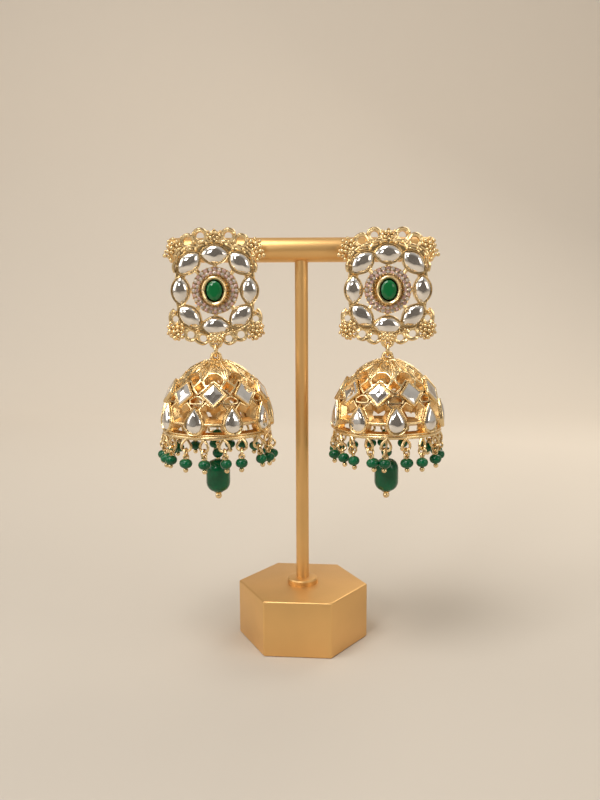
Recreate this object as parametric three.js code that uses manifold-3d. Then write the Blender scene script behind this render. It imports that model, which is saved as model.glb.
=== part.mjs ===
// A pair of jhumka earrings hanging on a small T-bar stand.
// Each earring is a stone-set stud, a jump ring and an openwork bell with a bead fringe.
// Millimetres, +Z up. The origin is the centre of the stand's underside, the front faces -Y.
import * as THREE from 'three';
import { mergeVertices } from 'three/addons/utils/BufferGeometryUtils.js';
import Module from 'manifold-3d';

const wasm = await Module();
wasm.setup();

// Stand
const BASE_RADIUS = 17.2;
const BASE_HEIGHT = 14.6;
const BASE_BEVEL = 0.6;
const BASE_TURN = -5.5;
const BASE_FLOOR = 8.6;
const COLLAR_DIAMETER = 8;
const COLLAR_HEIGHT = 1.4;
const POST_DIAMETER = 3.35;
const BAR_DIAMETER = 6.2;
const BAR_LENGTH = 66.6;
const BAR_HEIGHT = 102;

// Gap kept between neighbouring pieces
const GAP = 0.3;

// Where each earring sits on the bar
const EARRING_X = 21.45;
const LEFT_BELL_TURN = 1.5;
const RIGHT_BELL_TURN = 24;
const EAR_POST_DIAMETER = 1;
const EAR_POST_LENGTH = 11;
const EAR_POST_RISE = 10;

// Stud: depths are counted forward from its back
const SETTING_RING = 9.05;
const MARQUISE_LENGTH = 7.6;
const MARQUISE_WIDTH = 4.9;
const MARQUISE_DEPTH = 2.8;
const MARQUISE_POCKET = 1.35;
const MARQUISE_CROWN = 0.9;
const MARQUISE_FULLNESS = 2.2;
const BEZEL_WALL = 0.3;
const TIP_SHARE = 1.35;
const HALO_RADIUS = 4.85;
const HALO_WIDTH = 1.75;
const HALO_DEPTH = 2.2;
const CENTER_WIDTH = 6.3;
const CENTER_HEIGHT = 7.3;
const CENTER_WALL = 0.65;
const CENTER_DEPTH = 4.6;
const CENTER_POCKET = 1.3;
const CENTER_CROWN = 0.8;
const LACE_BACK = 0.8;
const LACE_THICKNESS = 1.3;
const GRANULE_DIAMETER = 1.5;
const BRIDGE_WIDTH = 1.2;
const CROWN_RISE = 15;
const CROWN_TIP = 0.9;
const HEART_RADIUS = 1.7;

// Jump ring, the stud's eye above it and the bell's eye below it
const EYE_DROP = 13.4;
const EYE_DEPTH = 2.6;
const EYE_HOLE = 1.1;
const EYE_WIRE = 0.6;
const LINK_DIAMETER = 3.4;
const LINK_WIRE = 0.6;

// Bell
const BELL_HEIGHT = 18.2;
const BELL_RADIUS = 13.6;
const BELL_WALL = 0.7;
const BELL_REPEATS = 9;
const APEX_CLEARANCE = 0.4;
const CAP_FINIAL = 1.9;
const BAND_HEIGHT = 0.9;
const BAND_EDGE = 0.1;
const DIAMOND_WIDTH = 6.3;
const DIAMOND_RELIEF = 0.7;
const DIAMOND_CROWN = 0.6;
const PEAR_WIDTH = 5;
const PEAR_LENGTH = 7.3;
const PEAR_RELIEF = 0.8;
const PEAR_POCKET = 0.65;
const PEAR_CROWN = 0.7;
const OVAL_WIDTH = 4.7;
const OVAL_HEIGHT = 2.7;
const BELL_CELL_WIRE = 0.6;

// Fringe and centre strand
const FRINGE_DROPS = 18;
const FRINGE_WIRE = 0.7;
const FRINGE_LENGTH = 5.1;
const FRINGE_SPLAY = 0.8;
const FRINGE_BEAD_DIAMETER = 2.6;
const FRINGE_BEAD_HEIGHT = 2.2;
const STRAND_WIRE = 0.8;
const STRAND_BEAD_DIAMETER = 2.6;
const STRAND_BEAD_SPACING = 4.9;
const STRAND_BALL_DIAMETER = 1.6;
const CAPSULE_DIAMETER = 6.1;
const CAPSULE_LENGTH = 8.5;
const CAPSULE_DROP = 29.85;
const CAPSULE_BORE = 1.4;

// Profile of the bell, as shares of its height below the apex and of its radius
const BELL_PROFILE = [
  { drop: 0, radius: 0 },
  { drop: 0.01, radius: 0.14 },
  { drop: 0.11, radius: 0.43 },
  { drop: 0.214, radius: 0.603 },
  { drop: 0.335, radius: 0.76 },
  { drop: 0.5, radius: 0.89 },
  { drop: 0.659, radius: 0.963 },
  { drop: 0.83, radius: 1 },
  { drop: 0.93, radius: 1 },
  { drop: 1, radius: 0.985 },
];

// Rows of the bell, as shares of its height below the apex
const CAP_ROW = 0.145;
const OVAL_ROW = 0.245;
const DIAMOND_ROW = 0.429;
const PEAR_ROW = 0.753;
const BELT_ROW = 0.797;

// Marquise settings: the angle runs anticlockwise from +X, the radius is a share of the ring of
// settings and the width a share of the widest one
const MARQUISES = [
  { angle: 90, radius: 0.967, width: 1 },
  { angle: 45, radius: 1, width: 1 },
  { angle: 0, radius: 0.939, width: 0.92 },
  { angle: -45, radius: 1, width: 1 },
  { angle: -90, radius: 0.967, width: 1 },
  { angle: -135, radius: 1, width: 1 },
  { angle: 180, radius: 0.939, width: 0.92 },
  { angle: 135, radius: 1, width: 1 },
];

// Scalloped edge of the stud, right half: discs at shares of the ring of settings, pierced where
// a hole is given
const LACE = [
  { x: 0, y: 1.45, radius: 0.18, hole: 0 },
  { x: 0.381, y: 1.47, radius: 0.204, hole: 0.11 },
  { x: 0.718, y: 1.326, radius: 0.199, hole: 0.105 },
  { x: 1.03, y: 1.1, radius: 0.2, hole: 0 },
  { x: 0.354, y: -1.315, radius: 0.177, hole: 0.094 },
  { x: 0.696, y: -1.21, radius: 0.193, hole: 0.099 },
  { x: 1.105, y: -0.773, radius: 0.166, hole: 0.083 },
  { x: 1.061, y: -1.072, radius: 0.188, hole: 0 },
];

// Soldered gold balls of the stud, right half, at shares of the ring of settings
const GRANULES = [
  { x: 1.12, y: 1.265 },
  { x: 1.21, y: 1.12 },
  { x: 1.17, y: 0.95 },
  { x: 1.238, y: -1.028 },
  { x: 1.149, y: -1.238 },
  { x: 0.99, y: -1.215 },
  { x: 0.099, y: 1.558 },
];

// Outer edge of the plate behind the settings, right half, by direction from the stud's centre
const PLATE = [
  { angle: 90, radius: 1.381 },
  { angle: 67.5, radius: 1.37 },
  { angle: 45, radius: 1.392 },
  { angle: 22.5, radius: 1.171 },
  { angle: 0, radius: 1.061 },
  { angle: -22.5, radius: 1.149 },
  { angle: -45, radius: 1.37 },
  { angle: -67.5, radius: 1.282 },
  { angle: -90, radius: 1.282 },
];
const PLATE_HOLE = 0.906;
const LACE_STEPS = 72;

// Places worked out from the sizes above
const BAR_RADIUS = BAR_DIAMETER / 2;
const STUD_BACK_Y = -(BAR_RADIUS + GAP);
const STUD_Z = BAR_HEIGHT - EAR_POST_RISE;
const HANG_Y = STUD_BACK_Y - EYE_DEPTH;
const LINK_RADIUS = (LINK_DIAMETER - LINK_WIRE) / 2;
const EYE_RADIUS = EYE_HOLE / 2 + EYE_WIRE;
const APEX_Z = STUD_Z - EYE_DROP - 2 * LINK_RADIUS - LINK_WIRE / 2 - APEX_CLEARANCE;
const HALF_PITCH = 180 / BELL_REPEATS;
const CAP_DROP = CAP_ROW * BELL_HEIGHT;
const OVAL_DROP = OVAL_ROW * BELL_HEIGHT;
const DIAMOND_DROP = DIAMOND_ROW * BELL_HEIGHT;
const PEAR_DROP = PEAR_ROW * BELL_HEIGHT;
const BELT_DROP = BELT_ROW * BELL_HEIGHT;

const rad = THREE.MathUtils.degToRad;
const X = new THREE.Vector3(1, 0, 0);
const Z = new THREE.Vector3(0, 0, 1);

// A closed geometry as a solid that can be cut and joined
function solidOf(geometry) {
  const bare = geometry.clone();
  bare.deleteAttribute('normal');
  bare.deleteAttribute('uv');
  const merged = mergeVertices(bare, 1e-4);
  return new wasm.Manifold(new wasm.Mesh({
    numProp: 3,
    vertProperties: merged.attributes.position.array,
    triVerts: new Uint32Array(merged.index.array),
  }));
}

function geometryOf(solid) {
  const mesh = solid.getMesh();
  const geometry = new THREE.BufferGeometry();
  geometry.setAttribute('position', new THREE.BufferAttribute(mesh.vertProperties, 3));
  geometry.setIndex(new THREE.BufferAttribute(mesh.triVerts, 1));
  geometry.computeVertexNormals();
  return geometry;
}

function join(geometries) {
  return geometries.map(solidOf).reduce((whole, piece) => whole.add(piece));
}

// Unit outlines, anticlockwise and within -1..1
function circle(sides, turn = 0) {
  return Array.from({ length: sides }, (_, i) => {
    const angle = rad(turn) + 2 * Math.PI * i / sides;
    return new THREE.Vector2(Math.cos(angle), Math.sin(angle));
  });
}

function marquise(steps) {
  return Array.from({ length: 2 * steps }, (_, i) => {
    const y = Math.cos(Math.PI * i / steps);
    const side = i < steps ? -1 : 1;
    return new THREE.Vector2(side * (1 - Math.abs(y) ** MARQUISE_FULLNESS), y);
  });
}

function pear(sides) {
  return Array.from({ length: sides }, (_, i) => {
    const angle = 2 * Math.PI * i / sides;
    return new THREE.Vector2(-Math.sin(angle) * Math.sin(angle / 2) / 0.77, Math.cos(angle));
  });
}

function clippedSquare(clip) {
  return [[1, clip], [clip, 1], [-clip, 1], [-1, clip], [-1, -clip], [-clip, -1], [clip, -1], [1, -clip]]
    .map(([x, y]) => new THREE.Vector2(x, y));
}

// One level of a loft: a unit outline at half sizes a and b and height z
function level(outline, a, b, z) {
  return outline.map((p) => new THREE.Vector3(p.x * a, p.y * b, z));
}

// Faces between levels of equal count, closed by a flat fan at the last and, unless it stands on
// another surface, at the first
function loft(levels, standing = false) {
  const count = levels[0].length;
  const positions = levels.flat().flatMap((p) => [p.x, p.y, p.z]);
  const index = [];
  for (let row = 0; row < levels.length - 1; row += 1) {
    for (let i = 0; i < count; i += 1) {
      const a = row * count + i;
      const b = row * count + (i + 1) % count;
      index.push(a, b, b + count, a, b + count, a + count);
    }
  }
  const last = (levels.length - 1) * count;
  for (let i = 1; i < count - 1; i += 1) {
    index.push(last, last + i, last + i + 1);
    if (!standing) {
      index.push(0, i + 1, i);
    }
  }
  const geometry = new THREE.BufferGeometry();
  geometry.setAttribute('position', new THREE.Float32BufferAttribute(positions, 3));
  geometry.setIndex(index);
  geometry.computeVertexNormals();
  return geometry;
}

// A ring or solid of revolution about Z, from [radius, height] points running anticlockwise
function revolve(points, sides) {
  const profile = points.map(([radius, height]) => new THREE.Vector2(radius, height));
  return new THREE.LatheGeometry(profile, sides).rotateX(Math.PI / 2);
}

// A straight rod between two points
function rod(from, to, diameter, sides) {
  const along = to.clone().sub(from);
  const turn = new THREE.Quaternion().setFromUnitVectors(Z, along.clone().normalize());
  return new THREE.CylinderGeometry(diameter / 2, diameter / 2, along.length(), sides)
    .rotateX(Math.PI / 2)
    .applyQuaternion(turn)
    .translate(...from.clone().add(to).multiplyScalar(0.5).toArray());
}

// A straight block with a unit outline
function block(outline, width, height, from, to) {
  return loft([level(outline, width / 2, height / 2, from), level(outline, width / 2, height / 2, to)]);
}

// The pocket inside the wall of a setting, open at the front
function pocket(outline, width, height, wall, rim, depth) {
  return block(outline, width - 2 * wall, height - 2 * wall * TIP_SHARE, rim - depth, rim + depth);
}

// The cut stone that fits a pocket: flat back, straight girdle, crown facets and a table
function stone(outline, width, height, wall, rim, depth, crown) {
  const a = width / 2 - wall - GAP;
  const b = height / 2 - (wall + GAP) * TIP_SHARE;
  return loft([
    level(outline, a, b, rim - depth + GAP),
    level(outline, a, b, rim + 0.1 * crown),
    level(outline, a * 0.55, b * 0.55, rim + crown),
  ]);
}

// Bell surface
function bellRadius(drop) {
  const share = drop / BELL_HEIGHT;
  const next = Math.max(1, BELL_PROFILE.findIndex((row) => row.drop >= share));
  const above = BELL_PROFILE[next - 1];
  const below = BELL_PROFILE[next];
  const along = (share - above.drop) / (below.drop - above.drop);
  return BELL_RADIUS * THREE.MathUtils.lerp(above.radius, below.radius, along);
}

// How far the bell's wall leans outward from the vertical at a drop, in radians
function bellLean(drop) {
  const reach = 0.05 * BELL_HEIGHT;
  const top = Math.max(0, drop - reach);
  const bottom = Math.min(BELL_HEIGHT, drop + reach);
  return Math.atan2(bellRadius(bottom) - bellRadius(top), bottom - top);
}

// Axes of the bell's surface at a turn about its axis and a drop below its apex, +Z outward
function bellFrame(turn, drop) {
  const lean = bellLean(drop);
  const out = new THREE.Vector3(0, -Math.cos(lean), Math.sin(lean)).applyAxisAngle(Z, rad(turn));
  const side = X.clone().applyAxisAngle(Z, rad(turn));
  const up = out.clone().cross(side);
  const origin = new THREE.Vector3(0, -bellRadius(drop), -drop).applyAxisAngle(Z, rad(turn));
  return new THREE.Matrix4().makeBasis(side, up, out).setPosition(origin);
}

function bellPoint(turn, drop, lift) {
  return new THREE.Vector3(0, 0, lift).applyMatrix4(bellFrame(turn, drop));
}

// A millimetre measured round the bell, in degrees at that drop
function bellDegrees(width, drop) {
  return THREE.MathUtils.radToDeg(width / bellRadius(drop));
}

// The bell's surface laid out flat round its apex, to divide it into faces
function flatPoint([turn, drop]) {
  const reach = bellRadius(drop) + drop;
  return new THREE.Vector2(0, -reach).rotateAround(new THREE.Vector2(), rad(turn));
}

// A ring of [turn, drop] points round the bell at one drop
function bellRing(drop, sides) {
  return Array.from({ length: sides }, (_, i) => [360 * i / sides, drop]);
}

// Copies of a cell round the bell
function around(ring) {
  return Array.from({ length: BELL_REPEATS }, (_, i) => {
    return ring.map(([turn, drop]) => [turn + 2 * HALF_PITCH * i, drop]);
  });
}

// A raised setting on the bell: where its foot meets the surface, and its levels above that
function boss(outline, width, height, turn, drop, levels) {
  const slant = Math.cos(bellLean(drop));
  const foot = outline.map((p) => {
    const at = drop - p.y * height / 2 * slant;
    return [turn + bellDegrees(p.x * width / 2, at), at];
  });
  const frame = bellFrame(turn, drop);
  const points = levels.map((ring) => ring.map((p) => p.applyMatrix4(frame)));
  return { foot, points };
}

// Closed openwork shell: cells go through it, bosses stand on it, and a cap closes it at the apex
function piercedShell(cells, bosses) {
  const bottom = bellRing(BELL_HEIGHT, 4 * BELL_REPEATS);
  const capEdge = bellRing(CAP_DROP, 2 * BELL_REPEATS);
  const capMiddle = bellRing(0.45 * CAP_DROP, 2 * BELL_REPEATS);
  const positions = [];
  const put = ([turn, drop], lift) => positions.push(...bellPoint(turn, drop, lift).toArray());
  const quad = (a, b, c, d) => [a, b, c, a, c, d].forEach(([point, lift]) => put(point, lift));

  const surface = (holes, lift, outside) => {
    const rings = [bottom, capEdge, ...holes];
    const points = rings.flat();
    const [outline, ...inner] = rings.map((ring) => ring.map(flatPoint));
    for (const face of THREE.ShapeUtils.triangulateShape(outline, inner)) {
      const corners = outside ? face : [...face].reverse();
      corners.forEach((i) => put(points[i], lift));
    }
    capEdge.forEach((point, i) => {
      const next = (i + 1) % capEdge.length;
      const corners = [point, capEdge[next], capMiddle[next], point, capMiddle[next], capMiddle[i],
        capMiddle[i], capMiddle[next], [0, 0]];
      for (let k = 0; k < corners.length; k += 3) {
        const face = corners.slice(k, k + 3);
        (outside ? face : face.reverse()).forEach((corner) => put(corner, lift));
      }
    });
  };
  surface([...cells, ...bosses.map(({ foot }) => foot)], 0, true);
  surface(cells, -BELL_WALL, false);

  for (const ring of [bottom, ...cells]) {
    ring.forEach((point, i) => {
      const next = ring[(i + 1) % ring.length];
      quad([point, 0], [point, -BELL_WALL], [next, -BELL_WALL], [next, 0]);
    });
  }
  for (const { foot, points } of bosses) {
    const base = foot.map(([turn, drop]) => bellPoint(turn, drop, 0));
    positions.push(...loft([base, ...points], true).toNonIndexed().attributes.position.array);
  }
  const geometry = new THREE.BufferGeometry();
  geometry.setAttribute('position', new THREE.Float32BufferAttribute(positions, 3));
  return geometry;
}

// A cell from the points of its right half, clockwise from the top, about a turn
function cell(middle, right) {
  const left = right.filter(([turn]) => turn > 0).map(([turn, drop]) => [-turn, drop]).reverse();
  const ring = [...right, ...left];
  return ring.map(([turn, drop]) => [turn + middle, drop]);
}

const PEAR_SIDES = 8;
const PEAR_OUTLINE = pear(PEAR_SIDES);
const MARQUISE_OUTLINE = marquise(4);
const OVAL_OUTLINE = circle(12);
const DIAMOND_OUTLINE = clippedSquare(0.12);

// Half the width of a pear setting's foot at a drop, in millimetres round the bell
function pearReach(drop) {
  const y = (PEAR_DROP - drop) / (PEAR_LENGTH / 2 * Math.cos(bellLean(PEAR_DROP)));
  const half = PEAR_OUTLINE.slice(0, PEAR_SIDES / 2 + 1);
  const next = half.findIndex((p) => p.y <= y);
  if (next < 1) {
    return 0;
  }
  const along = (half[next - 1].y - y) / (half[next - 1].y - half[next].y);
  return PEAR_WIDTH / 2 * -THREE.MathUtils.lerp(half[next - 1].x, half[next].x, along);
}

function bellCells() {
  const wire = BELL_CELL_WIRE;
  const rise = DIAMOND_WIDTH / 2 * Math.cos(bellLean(DIAMOND_DROP));
  const shoulder = DIAMOND_DROP + 0.66 * rise;
  const pearTop = PEAR_DROP - PEAR_LENGTH / 2;
  const pearShoulder = Math.SQRT1_2 * PEAR_LENGTH / 2 * Math.cos(bellLean(PEAR_DROP));
  const cellFoot = BELL_HEIGHT - BAND_HEIGHT - wire / 2;
  const besidePear = (drop) => [HALF_PITCH - bellDegrees(pearReach(drop) + wire / 3, drop), drop];
  const ovalSide = bellDegrees(OVAL_WIDTH / 2, OVAL_DROP);
  const ovalFoot = OVAL_DROP + 0.4 * OVAL_HEIGHT;
  const oval = cell(0, [
    [0, OVAL_DROP - OVAL_HEIGHT / 2],
    [0.7 * ovalSide, OVAL_DROP - 0.35 * OVAL_HEIGHT],
    [ovalSide, OVAL_DROP],
    [0.6 * ovalSide, ovalFoot],
    [0, DIAMOND_DROP - rise - 0.8 * wire],
  ]);
  const lozenge = cell(HALF_PITCH, [
    [0, OVAL_DROP + wire / 2],
    [0.4 * HALF_PITCH, ovalFoot + wire],
    [0, DIAMOND_DROP - 0.75 * wire],
  ]);
  const chevron = cell(HALF_PITCH, [
    [0.16 * HALF_PITCH, DIAMOND_DROP + wire / 2],
    [0.46 * HALF_PITCH, DIAMOND_DROP + 0.44 * rise],
    [0.37 * HALF_PITCH, shoulder],
    [0, pearTop - wire / 2],
  ]);
  const upper = cell(0, [
    [0, DIAMOND_DROP + rise + 0.8 * wire],
    [0.42 * HALF_PITCH, shoulder + 0.25 * wire],
    besidePear(PEAR_DROP - pearShoulder),
    besidePear(Math.min(PEAR_DROP, BELT_DROP - wire)),
    besidePear(BELT_DROP - wire / 2),
  ]);
  const sides = [BELT_DROP + wire / 2, PEAR_DROP + pearShoulder].filter((drop) => drop < cellFoot);
  const lower = cell(0, [...sides, cellFoot].map(besidePear));
  return [oval, lozenge, chevron, upper, lower].flatMap(around);
}

// A flat eye about Z
function eye() {
  return revolve([
    [EYE_HOLE / 2, -EYE_WIRE / 2],
    [EYE_RADIUS, -EYE_WIRE / 2],
    [EYE_RADIUS, EYE_WIRE / 2],
    [EYE_HOLE / 2, EYE_WIRE / 2],
    [EYE_HOLE / 2, -EYE_WIRE / 2],
  ], 12);
}

// The bail keeps facing the front however far the bell is turned
function bell(bellTurn) {
  const bosses = [];
  const [half, girdle] = [DIAMOND_WIDTH / 2, DIAMOND_WIDTH / 2 - 1.6 * BEZEL_WALL];
  const [a, b] = [PEAR_WIDTH / 2, PEAR_LENGTH / 2];
  const tipWall = BEZEL_WALL * TIP_SHARE;
  for (let i = 0; i < BELL_REPEATS; i += 1) {
    const turn = 2 * HALF_PITCH * i;
    bosses.push(boss(DIAMOND_OUTLINE, DIAMOND_WIDTH, DIAMOND_WIDTH, turn, DIAMOND_DROP, [
      level(DIAMOND_OUTLINE, half, half, DIAMOND_RELIEF),
      level(DIAMOND_OUTLINE, girdle, girdle, DIAMOND_RELIEF),
      level(DIAMOND_OUTLINE, 0.55 * girdle, 0.55 * girdle, DIAMOND_RELIEF + DIAMOND_CROWN),
    ]));
    bosses.push(boss(PEAR_OUTLINE, PEAR_WIDTH, PEAR_LENGTH, turn + HALF_PITCH, PEAR_DROP, [
      level(PEAR_OUTLINE, a, b, PEAR_RELIEF),
      level(PEAR_OUTLINE, a - BEZEL_WALL, b - tipWall, PEAR_RELIEF),
      level(PEAR_OUTLINE, a - BEZEL_WALL, b - tipWall, PEAR_RELIEF - PEAR_POCKET),
    ]));
  }
  const finial = disc(0, 0, CAP_FINIAL, -BELL_WALL / 2, 0, 8);
  const bail = eye()
    .rotateX(Math.PI / 2)
    .rotateZ(-rad(bellTurn))
    .translate(0, 0, LINK_WIRE / 2 + APEX_CLEARANCE);
  return join([piercedShell(bellCells(), bosses), finial, bail]);
}

// Stud, in its own frame: X right, Y up and Z forward from its back
function disc(x, y, radius, from, to, sides) {
  return loft([
    level(circle(sides), radius, radius, from),
    level(circle(sides), radius, radius, to),
  ]).translate(x, y, 0);
}

// How far the plate and its discs reach in a direction from the stud's centre
function laceReach(angle) {
  const way = new THREE.Vector2(Math.cos(angle), Math.sin(angle));
  const degrees = THREE.MathUtils.radToDeg(Math.asin(way.y));
  const next = Math.max(1, PLATE.findIndex((row) => row.angle <= degrees));
  const [before, after] = [PLATE[next - 1], PLATE[next]];
  const along = (before.angle - degrees) / (before.angle - after.angle);
  const reaches = [THREE.MathUtils.lerp(before.radius, after.radius, along)];
  for (const { x, y, radius } of LACE) {
    const middle = new THREE.Vector2(x, y);
    const ahead = middle.x * Math.abs(way.x) + middle.y * way.y;
    const aside = middle.x * way.y - middle.y * Math.abs(way.x);
    if (ahead > 0 && Math.abs(aside) < radius) {
      reaches.push(ahead + Math.sqrt(radius ** 2 - aside ** 2));
    }
  }
  return SETTING_RING * Math.max(...reaches);
}

// The plate behind the settings with its scalloped edge, open in the middle and pierced
function studPlate() {
  const shape = new THREE.Shape(Array.from({ length: LACE_STEPS }, (_, i) => {
    const angle = 2 * Math.PI * (i + 0.5) / LACE_STEPS;
    return new THREE.Vector2(Math.cos(angle), Math.sin(angle)).multiplyScalar(laceReach(angle));
  }));
  const middle = circle(16).map((p) => p.multiplyScalar(PLATE_HOLE * SETTING_RING));
  shape.holes.push(new THREE.Path(middle));
  for (const side of [SETTING_RING, -SETTING_RING]) {
    for (const { x, y, hole } of LACE.filter((disc) => disc.hole)) {
      const ring = circle(6).map((p) => p.multiplyScalar(SETTING_RING * hole));
      shape.holes.push(new THREE.Path(ring.map((p) => p.add(new THREE.Vector2(side * x, SETTING_RING * y)))));
    }
  }
  return new THREE.ExtrudeGeometry(shape, { depth: LACE_THICKNESS, bevelEnabled: false })
    .translate(0, 0, LACE_BACK);
}

// The raised ring round the centre and the bars that carry the settings
function halo() {
  const pieces = [disc(0, 0, HALO_RADIUS + HALO_WIDTH / 2, LACE_BACK, HALO_DEPTH, 16)];
  for (const { angle, radius, width } of MARQUISES) {
    const outer = radius * SETTING_RING - width * MARQUISE_WIDTH / 2 + BEZEL_WALL;
    const depth = HALO_DEPTH - LACE_BACK - 0.3;
    pieces.push(new THREE.BoxGeometry(outer - HALO_RADIUS, BRIDGE_WIDTH, depth)
      .translate((HALO_RADIUS + outer) / 2, 0, (LACE_BACK + HALO_DEPTH) / 2)
      .rotateZ(rad(angle)));
  }
  return pieces;
}

function studFrame() {
  const front = LACE_BACK + LACE_THICKNESS;
  const ring = SETTING_RING;
  const solids = [studPlate(), ...halo()];
  const holes = [pocket(OVAL_OUTLINE, CENTER_WIDTH, CENTER_HEIGHT, CENTER_WALL, CENTER_DEPTH, CENTER_POCKET)];
  for (const { angle, radius, width } of MARQUISES) {
    const size = [MARQUISE_OUTLINE, width * MARQUISE_WIDTH, MARQUISE_LENGTH];
    const setting = block(...size, 0, MARQUISE_DEPTH);
    const inside = pocket(...size, BEZEL_WALL, MARQUISE_DEPTH, MARQUISE_POCKET);
    solids.push(setting.translate(radius * ring, 0, 0).rotateZ(rad(angle)));
    holes.push(inside.translate(radius * ring, 0, 0).rotateZ(rad(angle)));
  }
  solids.push(block(OVAL_OUTLINE, CENTER_WIDTH, CENTER_HEIGHT, LACE_BACK, CENTER_DEPTH));
  for (const side of [ring, -ring]) {
    for (const { x, y } of GRANULES) {
      solids.push(new THREE.OctahedronGeometry(GRANULE_DIAMETER / 2, 0).translate(side * x, ring * y, front + 0.3));
    }
  }
  const tipDepth = LACE_BACK + LACE_THICKNESS / 2;
  const tipFoot = new THREE.Vector3(0, 1.3 * ring, tipDepth);
  solids.push(rod(tipFoot, new THREE.Vector3(0, CROWN_RISE, tipDepth), CROWN_TIP, 6));
  const heartY = EYE_HOLE / 2 + 0.1 + HEART_RADIUS - EYE_DROP;
  solids.push(disc(0, heartY, HEART_RADIUS, LACE_BACK + 0.2, EYE_DEPTH + EYE_WIRE, 10));
  solids.push(eye().translate(0, -EYE_DROP, EYE_DEPTH));
  return join(solids).subtract(join(holes));
}

// Jump ring about X
function jumpRing() {
  const wire = [...circle(6), circle(6)[0]].map((p) => [
    LINK_RADIUS + p.x * LINK_WIRE / 2,
    p.y * LINK_WIRE / 2,
  ]);
  return revolve(wire, 12).rotateY(Math.PI / 2);
}

// Bead strand inside the bell: a pin with two beads, and a ball that carries the capsule
const CAPSULE_TOP = CAPSULE_DROP - CAPSULE_LENGTH / 2;
const CAPSULE_BOTTOM = CAPSULE_DROP + CAPSULE_LENGTH / 2;

function bead(diameter, height, sides) {
  const [r, h] = [diameter / 2, height / 2];
  return revolve([[0, -h], [0.75 * r, -0.75 * h], [r, 0], [0.75 * r, 0.75 * h], [0, h]], sides);
}

function strand() {
  const ballDrop = CAPSULE_BOTTOM + GAP + STRAND_BALL_DIAMETER / 2;
  const lowerBead = CAPSULE_TOP - GAP - STRAND_BEAD_DIAMETER / 2;
  const pinTop = new THREE.Vector3(0, 0, -BELL_WALL - 0.1 - GAP);
  const beads = [lowerBead, lowerBead - STRAND_BEAD_SPACING].map((drop) => bead(STRAND_BEAD_DIAMETER,
    STRAND_BEAD_DIAMETER, 10).translate(0, 0, -drop));
  const ball = new THREE.IcosahedronGeometry(STRAND_BALL_DIAMETER / 2, 0).translate(0, 0, -ballDrop);
  return join([rod(pinTop, new THREE.Vector3(0, 0, -ballDrop), STRAND_WIRE, 8), ...beads, ball]);
}

function capsule() {
  const [bore, r, h] = [CAPSULE_BORE / 2, CAPSULE_DIAMETER / 2, CAPSULE_LENGTH / 2];
  return revolve([
    [bore, -h],
    [0.62 * r, -0.93 * h],
    [r, -0.6 * h],
    [r, 0.6 * h],
    [0.62 * r, 0.93 * h],
    [bore, h],
    [bore, -h],
  ], 12);
}

// Bead fringe: a wire ring below the bell's rim with a bead and a ball on each drop
function fringe() {
  const rim = bellRadius(BELL_HEIGHT);
  const half = FRINGE_WIRE / 2;
  const ringDrop = BELL_HEIGHT + BAND_EDGE + GAP + half;
  const ring = revolve([
    [rim - half, -ringDrop - half],
    [rim + half, -ringDrop - half],
    [rim + half, -ringDrop + half],
    [rim - half, -ringDrop + half],
    [rim - half, -ringDrop - half],
  ], FRINGE_DROPS).rotateZ(Math.PI / FRINGE_DROPS);
  const beadRadius = rim + FRINGE_SPLAY;
  const beadDrop = ringDrop + FRINGE_LENGTH;
  const [r, h] = [FRINGE_BEAD_DIAMETER / 2, FRINGE_BEAD_HEIGHT / 2];
  const pieces = [ring];
  for (let i = 0; i < FRINGE_DROPS; i += 1) {
    const turn = 2 * Math.PI * i / FRINGE_DROPS;
    const top = new THREE.Vector3(0, -rim, -ringDrop);
    const foot = new THREE.Vector3(0, -beadRadius, -beadDrop);
    pieces.push(rod(top, foot, FRINGE_WIRE, 4).rotateZ(turn));
    pieces.push(revolve([[0, -h], [r, -0.5 * h], [r, 0.5 * h], [0, h]], 10)
      .translate(0, -beadRadius, -beadDrop)
      .rotateZ(turn));
  }
  return join(pieces);
}

// Stand
function standBase() {
  const hexagon = circle(6, BASE_TURN);
  const body = loft([
    level(hexagon, BASE_RADIUS, BASE_RADIUS, 0),
    level(hexagon, BASE_RADIUS, BASE_RADIUS, BASE_HEIGHT - BASE_BEVEL),
    level(hexagon, BASE_RADIUS - BASE_BEVEL, BASE_RADIUS - BASE_BEVEL, BASE_HEIGHT),
  ]);
  const socket = disc(0, 0, POST_DIAMETER / 2 + GAP, BASE_FLOOR, BASE_HEIGHT + 1, 16);
  return solidOf(body).subtract(solidOf(socket));
}

function standCollar() {
  const [hole, r] = [POST_DIAMETER / 2 + GAP, COLLAR_DIAMETER / 2];
  const foot = BASE_HEIGHT + GAP;
  const top = foot + COLLAR_HEIGHT;
  return revolve([[hole, foot], [r, foot], [r, top - 0.5], [r - 0.5, top], [hole, top], [hole, foot]], 16);
}

function standPost() {
  return disc(0, 0, POST_DIAMETER / 2, BASE_FLOOR + GAP, BAR_HEIGHT - GAP, 16);
}

function standBar() {
  const end = new THREE.Vector3(BAR_LENGTH / 2, 0, 0);
  const bar = new THREE.CylinderGeometry(BAR_RADIUS, BAR_RADIUS, BAR_LENGTH, 24).rotateZ(Math.PI / 2);
  const cuts = [disc(0, 0, POST_DIAMETER / 2 + GAP, -BAR_DIAMETER, 0, 16)];
  for (const x of [EARRING_X, -EARRING_X]) {
    cuts.push(rod(new THREE.Vector3(x, -BAR_DIAMETER, 0), new THREE.Vector3(x, BAR_DIAMETER, 0),
      EAR_POST_DIAMETER + 2 * GAP, 10));
  }
  return geometryOf(solidOf(bar).subtract(join(cuts))).translate(0, 0, BAR_HEIGHT);
}

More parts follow.
